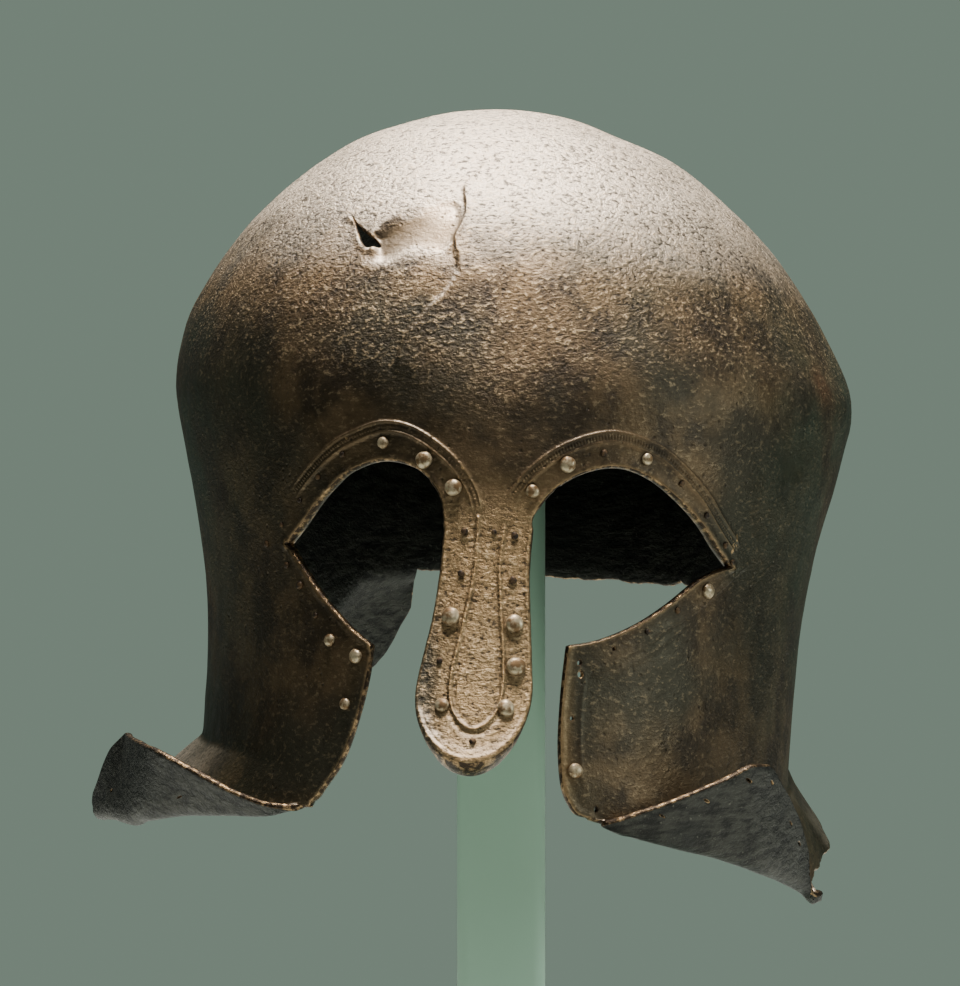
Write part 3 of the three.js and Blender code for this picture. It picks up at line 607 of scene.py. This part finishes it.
def relief(points, places):
    """Height of the outer face above the plain shape, in millimetres."""
    _, y, _ = places.T
    ahead = (y < 0)
    height = sum(tall * lattice_noise(places, size, seed) for size, tall, seed in HAMMERING)
    height += ahead * (guard_relief(points, places) + raised_lines(points, places))
    return height + ahead * damage(points, places)


def on_guard(places, top, bottom):
    """1 on the nose guard, fading in between two heights, 0 elsewhere."""
    x, y, z = places.T
    return (1 - smooth(*NASAL_EDGE, np.abs(x))) * (y < 0) * smooth(top, bottom, z)


def on_nose(places):
    return on_guard(places, -30, -40) * (places[:, 2] > -100)


def guard_relief(points, places):
    """The nose guard's rolled rim, the thin line inside it and the tongue."""
    share = on_nose(places)
    gap, _, _, _ = nearest(map_line(NOSE, 0.8), points)
    rim = 0.7 * bump(gap - 0.9, 0.7)
    inner_line = 0.25 * bump(gap - 2.5, 0.35)
    corroded = 0.14 * lattice_noise(places, 1.6, 4) - 0.1
    gap, _, _, _ = nearest(map_line(TONGUE, 0.8), points)
    tongue = 0.55 * bump(gap, 0.5)
    groove = 0.3 * bump(gap - 1.2, 0.6)
    return share * (rim + inner_line + corroded - groove) + tongue


def raised_lines(points, places):
    """The beaded eye borders, the cheek lines and the edges' soft rolls."""
    height = np.zeros(len(points))
    for line in (LEFT_RIDGE, RIGHT_RIDGE):
        height += beaded_border(map_line(line, 0.6), points)
    for line in CHEEK_LINES:
        gap, run, _, length = nearest(map_line(line, 1.2), points)
        ends = smooth(0, 5, run) * smooth(0, 8, length - run)
        height += ends * 0.34 * bump(gap, 0.55)
    beside_guard = 1 - on_nose(places)
    for line in (LEFT_BROW, RIGHT_BROW, LEFT_CHEEK_TOP, RIGHT_CHEEK_TOP,
                 RIGHT_CHEEK_FRONT, LEFT_CHEEK_FRONT):
        gap, _, _, _ = nearest(map_line(line, 1.2), points)
        roll = 0.45 * bump(gap - 0.6, 0.7)
        furrow = 0.12 * bump(gap - 2, 0.8)
        height += (roll - furrow) * beside_guard
    return height


def damage(points, places):
    """All the marks of the face that aren't holes."""
    return (crack(points, places) + torn_lip(points, places) + dent(points, places)
            + right_side_marks(points))


def crack(points, places):
    """A burr along the crack, with the sheet higher on one side of it."""
    gap, run, side, length = nearest(map_line(CRACK, 0.8), points)
    ends = smooth(0, 6, run) * smooth(0, 8, length - run)
    wander = 0.7 + 0.5 * lattice_noise(places, 4, 9)
    burr = 0.55 * bump(gap, 0.55) * wander
    step = smooth(-0.35, 0.35, side * gap) - 0.5
    return ends * (burr + 0.9 * step * bump(gap, 7))


def torn_lip(points, places):
    """The raised lip on the tear's lower left side."""
    x, _, z = places.T
    gap, _, _, _ = nearest(map_line(TEAR, 1.0), points)
    return 0.25 * bump(gap - 0.7, 0.6) * (x + z < 0)


def dent(points, places):
    """The smooth dent, deepest at the tear, with a lip below."""
    x, _, z = places.T
    inside_by = within(DENT, points)
    floor = smooth(0, 2.2, inside_by) * (0.5 + 0.9 * smooth(-14, -36, x))
    lip = 0.2 * bump(inside_by, 0.6) * smooth(40, 34, z + 0.15 * x)
    return lip - floor


def right_side_marks(points):
    """The sunken patch with its rim and the soft fold by the temple."""
    inside_by = within(SUNKEN, points)
    patch = 0.3 * bump(inside_by + 0.5, 0.7) - 0.5 * smooth(-0.2, 0.8, inside_by)
    gap, run, _, _ = nearest(map_line(TEMPLE, 2), points)
    return patch + smooth(0, 10, run) * 0.9 * bump(gap, 4.0)


GUARD_EXTRA = 4.9
EYE_RIM_EXTRA = 1.0


def thickness(points, places):
    """Wall thickness: the nose guard and the eyes' rims are thicker than the rest."""
    guard = on_guard(places, -28, -60)
    eyes = np.vstack([map_line(line, 1.5) for line in (LEFT_BROW, RIGHT_BROW)])
    gap = distance_to(eyes, points) * map_scale(points)
    near_eye = (1 - smooth(1, 8, gap)) * (1 - guard) * (places[:, 1] < 0)
    return WALL + GUARD_EXTRA * guard + EYE_RIM_EXTRA * near_eye


def grain(points, places):
    """How strongly the face is pitted (0 to 1): most on the crown and the guard."""
    x, y, z = places.T
    guard = on_guard(places, -20, -40)
    brow_line = z - 0.12 * np.abs(x) + 6 * lattice_noise(places, 24, 21)
    share = 0.28 + 0.72 * smooth(-15, 16, brow_line)
    in_dent = smooth(-1.5, 1.5, within(DENT, points))
    in_patch = smooth(-0.5, 0.8, within(SUNKEN, points))
    smoothed = np.maximum(in_dent, in_patch) * (y < 0)
    return np.clip(np.maximum(share, guard) * (1 - 0.85 * smoothed), 0, 1)


# ---- closed mesh -----------------------------------------------------------
def normals_of(points, triangles):
    """Unit normals at the points."""
    a, b, c = (points[triangles[:, i]] for i in range(3))
    faces = np.cross(b - a, c - a)
    normals = np.zeros_like(points)
    for i in range(3):
        np.add.at(normals, triangles[:, i], faces)
    return normals / np.maximum(np.linalg.norm(normals, axis=1, keepdims=True), 1e-12)


def border_edges(triangles):
    """Directed edges with a triangle on one side only."""
    edges = np.vstack([triangles[:, [0, 1]], triangles[:, [1, 2]], triangles[:, [2, 0]]])
    start, end = edges.astype(np.int64).T
    span = len(edges)
    return edges[~np.isin(start * span + end, end * span + start)]


def outward_in_sheet(points, normals, edges):
    """Unit direction off the sheet at each border point."""
    away = np.zeros_like(points)
    along = points[edges[:, 1]] - points[edges[:, 0]]
    for end in (0, 1):
        np.add.at(away, edges[:, end], np.cross(along, normals[edges[:, end]]))
    return away / np.maximum(np.linalg.norm(away, axis=1, keepdims=True), 1e-12)


# Rings round each free edge: share of the way to the inner face, and reach
# outward as a share of the rounding.
EDGE_STEPS = ((0.14, 0.55), (0.5, 0.85), (0.86, 0.55))
EDGE_ROUND = 0.45
THICKEST_ROUND = 1.6

# Material slots of the sheet.
OUTER, INNER, EDGE = 0, 1, 2


def closed_sheet():
    """Points and faces of the closed sheet, each face's slot, each point's grain."""
    flat, triangles = triangulated()
    plain = shape(flat)
    normals = normals_of(plain, triangles)
    if (normals * (plain - HOLLOW_MIDDLE)).sum(axis=1).mean() < 0:
        triangles = triangles[:, ::-1]
        normals = -normals
    wall = thickness(flat, plain)
    outer = plain + normals * relief(flat, plain)[:, None]
    inner = plain - normals * (wall + 0.25 * lattice_noise(plain, 12, 5))[:, None]
    edges = border_edges(triangles)
    rim = np.unique(edges)
    away = outward_in_sheet(plain, normals, edges)[rim]
    rounding = EDGE_ROUND * np.minimum(wall[rim] / WALL, THICKEST_ROUND)[:, None]
    rings = [outer[rim] * (1 - depth) + inner[rim] * depth + away * rounding * reach
             for depth, reach in EDGE_STEPS]
    walls = edge_faces(edges, rim, len(flat))
    faces = [tuple(t) for t in triangles.tolist()]
    faces += [(a, c, b) for a, b, c in (triangles + len(flat)).tolist()]
    slots = np.repeat([OUTER, INNER, EDGE], [len(triangles), len(triangles), len(walls)])
    rough = grain(flat, plain)
    rough = np.concatenate([rough, rough] + [rough[rim]] * len(rings))
    return np.vstack([outer, inner] + rings), faces + walls, slots, rough


def edge_faces(edges, rim, count):
    """Faces that join the outer skin to the inner one round every edge."""
    place = np.full(count, -1)
    place[rim] = np.arange(len(rim))

    def chain(i):
        rings = [2 * count + k * len(rim) + int(place[i]) for k in range(len(EDGE_STEPS))]
        return [i] + rings + [i + count]

    faces = []
    for a, b in edges.tolist():
        from_a, from_b = chain(a), chain(b)
        for k in range(len(from_a) - 1):
            faces.append((from_b[k], from_a[k], from_a[k + 1], from_b[k + 1]))
    return faces


def placed(points):
    """Helmet millimetres to metres in the row frame."""
    turned_by = np.array(Matrix.Rotation(ROLL, 3, "Y") @ Matrix.Rotation(YAW, 3, "Z"))
    return (np.asarray(points) @ turned_by.T + HELMET_AT) * MM


def mesh_piece(name, points, faces, materials, replaced=(), face_slots=None, rough=None):
    """A visual piece in the row frame, riding the one body."""
    mesh = bpy.data.meshes.new(name)
    mesh.from_pydata(np.asarray(points).tolist(), [], faces)
    for material in materials:
        mesh.materials.append(material)
    if face_slots is not None:
        mesh.polygons.foreach_set("material_index", face_slots.astype(np.int32))
        attribute = mesh.attributes.new("grain", "FLOAT", "POINT")
        attribute.data.foreach_set("value", rough.astype(np.float32))
    mesh.validate()
    mesh.shade_smooth()
    piece = bpy.data.objects.new(name, mesh)
    bpy.context.scene.collection.objects.link(piece)
    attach(piece, BODY)
    if replaced:
        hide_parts(*replaced)
    return piece


# ---- node materials --------------------------------------------------------
def colour(screen):
    """Linear colour of an 8-bit red, green and blue."""
    linear = [((v / 255 + 0.055) / 1.055) ** 2.4 if v > 10 else v / 255 / 12.92 for v in screen]
    return (*linear, 1)


class Nodes:
    """A small helper for building a material's node tree."""

    def __init__(self, name):
        self.material = bpy.data.materials.new(name)
        self.material.use_nodes = True
        self.tree = self.material.node_tree
        self.shader = self.tree.nodes["Principled BSDF"]
        self.place = self.tree.nodes.new("ShaderNodeTexCoord").outputs["Object"]

    def put(self, value, socket):
        """Link a node's output to a socket, or set the socket to a constant."""
        if isinstance(value, bpy.types.NodeSocket):
            self.tree.links.new(value, socket)
        else:
            socket.default_value = value

    def add(self, kind, inputs=(), **settings):
        node = self.tree.nodes.new(kind)
        for key, value in settings.items():
            setattr(node, key, value)
        for key, value in dict(inputs).items():
            self.put(value, node.inputs[key])
        return node

    def noise(self, size_mm, detail=4, rough=0.55, stretch=None, turn=(0, 0, 0)):
        at = self.place
        if stretch:
            mapping = {"Vector": at, "Rotation": turn, "Scale": stretch}
            at = self.add("ShaderNodeMapping", mapping).outputs["Vector"]
        inputs = {"Vector": at, "Scale": 1 / (size_mm * MM), "Detail": detail, "Roughness": rough}
        return self.add("ShaderNodeTexNoise", inputs).outputs["Fac"]

    def cells(self, size_mm):
        inputs = {"Vector": self.place, "Scale": 1 / (size_mm * MM)}
        return self.add("ShaderNodeTexVoronoi", inputs).outputs["Distance"]

    def spot(self, at, inner_mm, outer_mm):
        """1 within inner_mm of a place in the row frame, 0 beyond outer_mm."""
        node = self.add("ShaderNodeVectorMath", {0: self.place, 1: at}, operation="DISTANCE")
        return self.ramp(node.outputs["Value"], inner_mm * MM, outer_mm * MM, 1.0, 0.0)

    def split(self, vector):
        outputs = self.add("ShaderNodeSeparateXYZ", {"Vector": vector}).outputs
        return outputs["X"], outputs["Y"], outputs["Z"]

    def geometry(self, output):
        return self.add("ShaderNodeNewGeometry").outputs[output]

    def maths(self, operation, a, b=0.0):
        return self.add("ShaderNodeMath", {0: a, 1: b}, operation=operation).outputs["Value"]

    def times(self, *values):
        result = values[0]
        for value in values[1:]:
            result = self.maths("MULTIPLY", result, value)
        return result

    def ramp(self, value, low, high, to_low=0.0, to_high=1.0):
        inputs = {"Value": value, "From Min": low, "From Max": high,
                  "To Min": to_low, "To Max": to_high}
        node = self.add("ShaderNodeMapRange", inputs, interpolation_type="SMOOTHSTEP")
        return node.outputs["Result"]

    def over(self, base, amount, tint):
        """This much of a screen colour laid over the base, a node or a screen colour."""
        if isinstance(base, tuple):
            base = colour(base)
        first_colour, second_colour = 6, 7
        inputs = {"Factor": amount, first_colour: base, second_colour: colour(tint)}
        return self.add("ShaderNodeMix", inputs, data_type="RGBA").outputs[2]

    def bump(self, height, depth_mm, strength=1.0, normal=None):
        inputs = {"Height": height, "Distance": depth_mm * MM, "Strength": strength}
        if normal is not None:
            inputs["Normal"] = normal
        return self.add("ShaderNodeBump", inputs).outputs["Normal"]

    def finished(self, base, metallic, roughness, normal=None):
        self.put(base, self.shader.inputs["Base Color"])
        self.put(metallic, self.shader.inputs["Metallic"])
        self.put(roughness, self.shader.inputs["Roughness"])
        if normal is not None:
            self.put(normal, self.shader.inputs["Normal"])
        return self.material


def front_spots(places):
    """Places of the row frame, in metres, of marks given from the front."""
    return [tuple(p) for p in placed(front_frames(places)[0])]


# Marks of the face, from the front: a brown stain and an ochre fleck by the
# right temple, and the rubbed ground of the dent.
FACE_MARKS = [(86.1, 6.2), (70, 3), (-22, 40)]


def bronze_face():
    """The helmet's face: dark brown bronze, pitted, pale on the crown where dust lies and where overhead
    light is painted in, with painted shade in its creases.
    """
    n = Nodes("bronze_face")
    rough = n.add("ShaderNodeAttribute", attribute_name="grain").outputs["Fac"]
    grit = n.noise(1.25, 4, 0.62, (0.75, 0.75, 1.25))
    pits = n.times(n.ramp(n.cells(2.4), 0.0, 0.30, 1.0, 0.0), n.ramp(n.noise(9, 3), 0.50, 0.60))
    base = patina_and_painted_light(n, grit)
    base = face_marks(n, base, rough)
    base = n.over(base, n.times(pits, 0.7), (34, 28, 22))
    base = n.over(base, n.times(n.ramp(grit, 0.55, 0.66), rough, 0.6), (206, 180, 142))
    base = n.over(base, n.times(n.ramp(grit, 0.46, 0.36), rough, 0.75), (26, 22, 18))
    # sharp ridges rubbed bright by wear; hollows and creases darkened as painted shade
    edge_wear_and_crease_shade = n.geometry("Pointiness")
    base = n.over(base, n.ramp(edge_wear_and_crease_shade, 0.52, 0.60, 0.0, 0.6), (200, 164, 116))
    base = n.over(base, n.ramp(edge_wear_and_crease_shade, 0.48, 0.42, 0.0, 0.75), (28, 24, 18))
    gloss = n.ramp(n.noise(6, 4, 0.6), 0.3, 0.7, 0.36, 0.52)
    return n.finished(base, 0.72, gloss, face_bumps(n, grit, pits, rough))


def patina_and_painted_light(n, grit):
    """Brown and olive blotches, green low on the sides, a painted golden sheen on faces tilted up, pale
    dust and painted overhead light on what faces up, and painted light on the nose guard.
    """
    x, y, z = n.split(n.place)
    off_centre = n.maths("ABSOLUTE", x)
    _, _, up = n.split(n.geometry("Normal"))
    blotch = n.noise(15, 5, 0.6)
    base = n.over((62, 52, 40), n.ramp(blotch, 0.38, 0.62), (100, 82, 60))
    base = n.over(base, n.ramp(n.noise(48, 3, 0.5), 0.44, 0.64), (66, 62, 50))
    aside = n.times(n.ramp(off_centre, 0.055, 0.095), n.ramp(z, 0.315, 0.275))
    green = n.times(aside, n.ramp(n.noise(30, 4, 0.55), 0.36, 0.58))
    base = n.over(base, n.times(green, 0.75), (58, 74, 60))
    # painted highlight: a golden sheen on faces tilted halfway up, where the overhead light catches them
    tilted_up = n.times(n.ramp(up, 0.30, 0.52), n.ramp(up, 0.82, 0.62))
    painted_golden_sheen = n.times(tilted_up, n.ramp(blotch, 0.42, 0.58, 0.3, 1.0), 0.25)
    base = n.over(base, painted_golden_sheen, (160, 130, 92))
    # pale dust on faces turned up, and painted overhead light: the more a face looks up at the lamp, the
    # paler it is painted
    dust_and_top_light = n.times(n.ramp(up, 0.46, 0.80), n.ramp(grit, 0.36, 0.54, 0.5, 1.0), 0.92)
    base = n.over(base, dust_and_top_light, (238, 220, 198))
    # painted light: the nose guard's face, tilted up toward the overhead lamp, is painted lighter and
    # golden
    guard = n.times(n.ramp(off_centre, 0.020, 0.014), n.ramp(z, 0.262, 0.238),
                    n.ramp(y, -0.09, -0.11), 0.5)
    return n.over(base, guard, (176, 146, 104))


def face_marks(n, base, rough):
    stain, ochre, rubbed = front_spots(FACE_MARKS)
    stained = n.times(n.spot(stain, 2, 10), n.ramp(n.noise(15, 5, 0.6), 0.4, 0.6, 0.3, 0.8))
    base = n.over(base, stained, (104, 76, 54))
    base = n.over(base, n.times(n.spot(ochre, 1, 7), 0.5), (98, 78, 52))
    bare = n.times(n.spot(rubbed, 5, 17), n.ramp(rough, 0.5, 0.25), 0.6)
    return n.over(base, bare, (160, 136, 106))


def face_bumps(n, grit, pits, rough):
    speck = n.noise(0.55, 2, 0.6)
    coarse = n.times(n.maths("SUBTRACT", grit, 0.5), n.ramp(rough, 0.0, 1.0, 0.15, 1.0))
    fine = n.times(n.maths("SUBTRACT", speck, 0.5), n.ramp(rough, 0.0, 1.0, 0.3, 1.0))
    normal = n.bump(coarse, 0.8)
    normal = n.bump(fine, 0.22, 1.0, normal)
    return n.bump(pits, -0.25, 0.8, normal)


def bronze_lining():
    """The hollow side, seen on the bent corners: dark grey, streaked and pitted."""
    n = Nodes("bronze_lining")
    streak = n.noise(3.4, 4, 0.6, (0.35, 1.0, 1.5), (0, math.radians(20), 0))
    grit = n.noise(1.1, 4, 0.65)
    base = n.over((26, 26, 24), n.ramp(streak, 0.38, 0.60), (58, 58, 53))
    base = n.over(base, n.ramp(n.noise(20, 4), 0.46, 0.66, 0.0, 0.6), (40, 42, 39))
    base = n.over(base, n.ramp(grit, 0.60, 0.72, 0.0, 0.7), (112, 110, 102))
    normal = n.bump(grit, 0.4, 0.9, n.bump(streak, 0.7, 0.8))
    return n.finished(base, 0.6, n.ramp(grit, 0.3, 0.7, 0.40, 0.60), normal)


def bronze_edge():
    """The cut edges, rubbed bright in places."""
    n = Nodes("bronze_edge")
    patch = n.noise(2.0, 5, 0.7)
    base = n.over((58, 48, 38), n.ramp(patch, 0.46, 0.68), (176, 146, 108))
    return n.finished(base, 0.85, n.ramp(patch, 0.3, 0.7, 0.45, 0.32), n.bump(patch, 0.4, 0.9))


def stud_metal():
    n = Nodes("stud_worn_bronze")
    patch = n.noise(2.2, 4, 0.6)
    base = n.over((196, 180, 150), n.ramp(patch, 0.40, 0.62), (118, 92, 62))
    normal = n.bump(n.noise(0.9, 3), 0.12, 0.8)
    return n.finished(base, 0.6, n.ramp(patch, 0.3, 0.7, 0.34, 0.55), normal)


def pin_metal():
    n = Nodes("pin_dark_bronze")
    patch = n.noise(1.5, 3)
    base = n.over((44, 34, 26), n.ramp(patch, 0.4, 0.6), (96, 74, 50))
    normal = n.bump(n.noise(0.7, 3), 0.1, 0.8)
    return n.finished(base, 0.5, n.ramp(patch, 0.3, 0.7, 0.45, 0.65), normal)


def stand_paint():
    n = Nodes("stand_pale_green_paint")
    wash = n.noise(60, 3, 0.5, (1, 1, 0.25))
    base = n.over((166, 206, 182), n.ramp(wash, 0.3, 0.7), (176, 215, 192))
    gloss = n.ramp(n.noise(4, 4), 0.3, 0.7, 0.30, 0.40)
    return n.finished(base, 0.0, gloss, n.bump(n.noise(1.6, 3), 0.03, 0.5))


def rest_felt():
    n = Nodes("rest_dark_felt")
    base = n.over((26, 27, 26), n.noise(2.5, 5, 0.7), (52, 53, 50))
    return n.finished(base, 0.0, 0.95, n.bump(n.noise(0.8, 4), 0.2, 0.9))


def floor_paint(radius):
    """Pale floor that fades out before the edge of its disc."""
    n = Nodes("floor_pale")
    base = n.over((196, 204, 198), n.noise(220, 3), (206, 212, 207))
    length = n.add("ShaderNodeVectorMath", {0: n.place}, operation="LENGTH").outputs["Value"]
    fade = n.ramp(length, radius * 0.55, radius * 0.98, 1.0, 0.0)
    n.put(fade, n.shader.inputs["Alpha"])
    return n.finished(base, 0.0, 0.8)


# ---- studs and pins --------------------------------------------------------
# A stud head's profile: distance from its axis and height, both in radii.
HEAD = ((0, -0.2), (0.80, -0.2), (0.97, 0.02), (1.0, 0.16), (0.96, 0.34), (0.82, 0.54),
        (0.58, 0.68), (0.3, 0.75), (0, 0.77))


def turned(profile, sides, at, normal, radius, seed, rough=0.05):
    """Points and faces of a turned head, a little uneven as if hammered."""
    up = Vector(normal)
    side = up.orthogonal().normalized()
    other = up.cross(side)
    seeded = np.random.default_rng(seed)
    lobes = 1 + rough * seeded.standard_normal(sides)
    lobes = (lobes + np.roll(lobes, 1) + np.roll(lobes, -1)) / 3
    points = []
    middle = Vector(at)
    for share, height in profile[1:-1]:
        for k in range(sides):
            turn = 2 * math.pi * k / sides
            reach = share * radius * lobes[k]
            points.append(middle + side * math.cos(turn) * reach + other * math.sin(turn) * reach
                          + up * height * radius)
    rings = len(profile) - 2
    points += [middle + up * profile[0][1] * radius, middle + up * profile[-1][1] * radius]
    low, high = rings * sides, rings * sides + 1
    faces = []
    for k in range(sides):
        after = (k + 1) % sides
        faces.append((low, after, k))
        for r in range(rings - 1):
            below, above = r * sides, (r + 1) * sides
            faces.append((below + k, below + after, above + after, above + k))
        faces.append(((rings - 1) * sides + k, (rings - 1) * sides + after, high))
    return [tuple(p) for p in points], faces


# Studs: place from the front and radius.
STUDS = {
    "brow_stud_left": [(-28.7, -17, 1.6), (-17.4, -20.9, 2.3), (-9.2, -27.6, 2.3)],
    "brow_stud_right": [(11.4, -27.3, 1.8), (20, -19.8, 2.2), (40.5, -17, 1.6)],
    "nasal_stud_left": [(-7.5, -61, 2.5), (-7.8, -83.6, 1.9)],
    "nasal_stud_right": [(9.1, -61.8, 2.4), (10.4, -72.7, 2.5), (8.6, -83.2, 2.4)],
    "cheek_stud_left": [(-39.5, -69.6, 1.7), (-32.1, -73.2, 1.9), (-34.1, -85.8, 1.6)],
    "cheek_stud_right": [(58.3, -50.9, 2), (27, -98.9, 2)]}

# Broken pins and small rivets: place from the front, radius.
PINS = [(-59.9, -45.6, 0.9), (-55.7, -40.2, 0.7), (-50.8, -33.5, 0.8), (-46, -27, 0.8), (-39.7, -20.6, 0.9),
        (-53.5, -50.9, 0.9), (-49.1, -55.9, 1.2), (-44, -63.5, 0.8), (-5.5, -38.7, 0.9), (-5.6, -49.7, 0.9),
        (-9.4, -72.3, 0.8), (0.9, -92, 0.9), (7.6, -39.1, 1.0), (8, -50.5, 1.1), (2.2, -38.4, 0.7),
        (29.2, -16.2, 0.9), (49.9, -22.8, 0.9), (56.9, -30.8, 0.9), (62.4, -38.4, 0.9), (64.2, -42.9, 0.8),
        (50.7, -56.3, 0.9), (43.3, -62.2, 0.8)]


def front_frames(places):
    """Points on the outer face and their normals, in helmet millimetres."""
    flat = front_to_map(places)
    nudge = 0.4
    here = shape(flat)
    right = shape(flat + [nudge, 0]) - here
    up = shape(flat + [0, nudge]) - here
    normal = np.cross(right, up)
    normal /= np.linalg.norm(normal, axis=1, keepdims=True)
    flip = np.sign((normal * (here - HOLLOW_MIDDLE)).sum(axis=1, keepdims=True))
    lift = relief(flat, here)[:, None]
    return here + normal * flip * lift, normal * flip


def studs(metal):
    rows = [(f"{group}_{k + 1}", *row) for group, rows in STUDS.items() for k, row in enumerate(rows)]
    points, normals = front_frames([(x, z) for _, x, z, _ in rows])
    for i, (name, _, _, radius) in enumerate(rows):
        head, faces = turned(HEAD, 28, points[i], normals[i], radius, 40 + i)
        mesh_piece(name + "_head", placed(head), faces, [metal], (name,))


def pins(metal):
    points, normals = front_frames([(x, z) for x, z, _ in PINS])
    all_points, all_faces = [], []
    for i, (_, _, radius) in enumerate(PINS):
        head, faces = turned(HEAD, 14, points[i], normals[i], radius, 90 + i, 0.12)
        all_faces += [tuple(v + len(all_points) for v in face) for face in faces]
        all_points += head
    mesh_piece("pins", placed(all_points), all_faces, [metal])


# ---- stand -----------------------------------------------------------------
def rounded_bar(low, high, corner, bevel, steps=8):
    """An upright rounded-square bar between two corners, its ends bevelled."""
    half = (Vector(high) - Vector(low)) / 2
    middle = (Vector(high) + Vector(low)) / 2
    points, faces = [], []
    bevel_turns = [math.pi / 6 * k for k in range(4)]
    levels = [(low[2] + bevel * (1 - math.cos(turn)), bevel * (1 - math.sin(turn)))
              for turn in bevel_turns]
    levels += [(high[2] + low[2] - z, inset) for z, inset in reversed(levels)]
    count = 4 * (steps + 1)
    for z, inset in levels:
        for quarter in range(4):
            for k in range(steps + 1):
                turn = math.pi / 2 * (quarter + k / steps)
                sx = 1 if quarter in (0, 3) else -1
                sy = 1 if quarter in (0, 1) else -1
                r = corner - inset
                points.append((middle.x + sx * (half.x - corner) + r * math.cos(turn),
                               middle.y + sy * (half.y - corner) + r * math.sin(turn), z))
    for ring in range(len(levels) - 1):
        for k in range(count):
            a, b = ring * count + k, ring * count + (k + 1) % count
            faces.append((a, b, b + count, a + count))
    faces.append(tuple(range(count - 1, -1, -1)))
    faces.append(tuple(range((len(levels) - 1) * count, len(levels) * count)))
    return points, faces


# Corner radius and bevel of each bar of the stand, in millimetres.
STAND_BARS = {"stand_post": (3.6, 0.8), "stand_base": (6, 1.6)}


def stand(paint, felt):
    for node, (corner, bevel) in STAND_BARS.items():
        points, faces = rounded_bar(*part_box(node), corner * MM, bevel * MM)
        piece = mesh_piece(node + "_smooth", points, faces, [paint], (node,))
        for face in piece.data.polygons[-2:]:
            face.use_smooth = False
    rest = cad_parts["crown_rest"]
    rest.data.materials.clear()
    rest.data.materials.append(felt)


# ---- stage -----------------------------------------------------------------
FLOOR_RADIUS = 0.86
FLOOR_GAP = 0.0005


def stage_floor():
    bpy.ops.mesh.primitive_circle_add(vertices=96, radius=FLOOR_RADIUS, fill_type="TRIFAN",
                                      location=(0, 0, -FLOOR_GAP))
    floor = bpy.context.object
    floor.name = "floor"
    floor.data.materials.append(floor_paint(FLOOR_RADIUS))


def camera():
    data = bpy.data.cameras.new("camera")
    data.sensor_fit = "VERTICAL"
    data.sensor_height = 36
    data.lens = 166.1
    data.clip_end = 50
    eye = bpy.data.objects.new("camera", data)
    eye.location = (-0.006, -1.3, 0.25)
    eye.rotation_euler = (math.pi / 2, 0, 0)
    bpy.context.scene.collection.objects.link(eye)
    bpy.context.scene.camera = eye


# Area lights: name, place in metres, diameter, watts and tint.
LIGHTS = [("overhead", (0.06, -0.06, 1.5), 0.45, 38, (1.0, 0.94, 0.87)),
          ("behind", (-0.1, 0.45, 1.4), 0.5, 16, (1.0, 0.95, 0.90)),
          ("ahead", (0.2, -1.5, 1.0), 0.7, 2.4, (1.0, 0.97, 0.92)),
          ("right", (1.2, -0.4, 0.5), 0.6, 4.5, (0.90, 1.0, 0.95))]
LIT_POINT = Vector((0, 0, 0.27))
BACKDROP = colour((115, 132, 120))
SKY = colour((150, 165, 155))
SKY_STRENGTH = 0.22


def area_light(name, at, size, power, tint):
    data = bpy.data.lights.new(name, "AREA")
    data.shape = "DISK"
    data.size = size
    data.energy = power
    data.color = tint
    lamp = bpy.data.objects.new(name, data)
    lamp.location = at
    lamp.rotation_euler = (LIT_POINT - Vector(at)).to_track_quat("-Z", "Y").to_euler()
    bpy.context.scene.collection.objects.link(lamp)


def lighting():
    """The lights and a world that lights with one colour and shows another."""
    for row in LIGHTS:
        area_light(*row)
    world = bpy.data.worlds.new("studio")
    bpy.context.scene.world = world
    world.use_nodes = True
    tree = world.node_tree
    background = tree.nodes["Background"]
    seen = tree.nodes.new("ShaderNodeBackground")
    seen.inputs["Color"].default_value = BACKDROP
    background.inputs["Color"].default_value = SKY
    background.inputs["Strength"].default_value = SKY_STRENGTH
    mix = tree.nodes.new("ShaderNodeMixShader")
    path = tree.nodes.new("ShaderNodeLightPath")
    tree.links.new(path.outputs["Is Camera Ray"], mix.inputs["Fac"])
    tree.links.new(background.outputs["Background"], mix.inputs[1])
    tree.links.new(seen.outputs["Background"], mix.inputs[2])
    tree.links.new(mix.outputs["Shader"], tree.nodes["World Output"].inputs["Surface"])


camera()
lighting()
stage_floor()
sheet_points, sheet_faces, sheet_slots, sheet_rough = closed_sheet()
mesh_piece("helmet_sheet", placed(sheet_points), sheet_faces,
           [bronze_face(), bronze_lining(), bronze_edge()], ("helmet_shell",),
           sheet_slots, sheet_rough)
studs(stud_metal())
pins(pin_metal())
stand(stand_paint(), rest_felt())
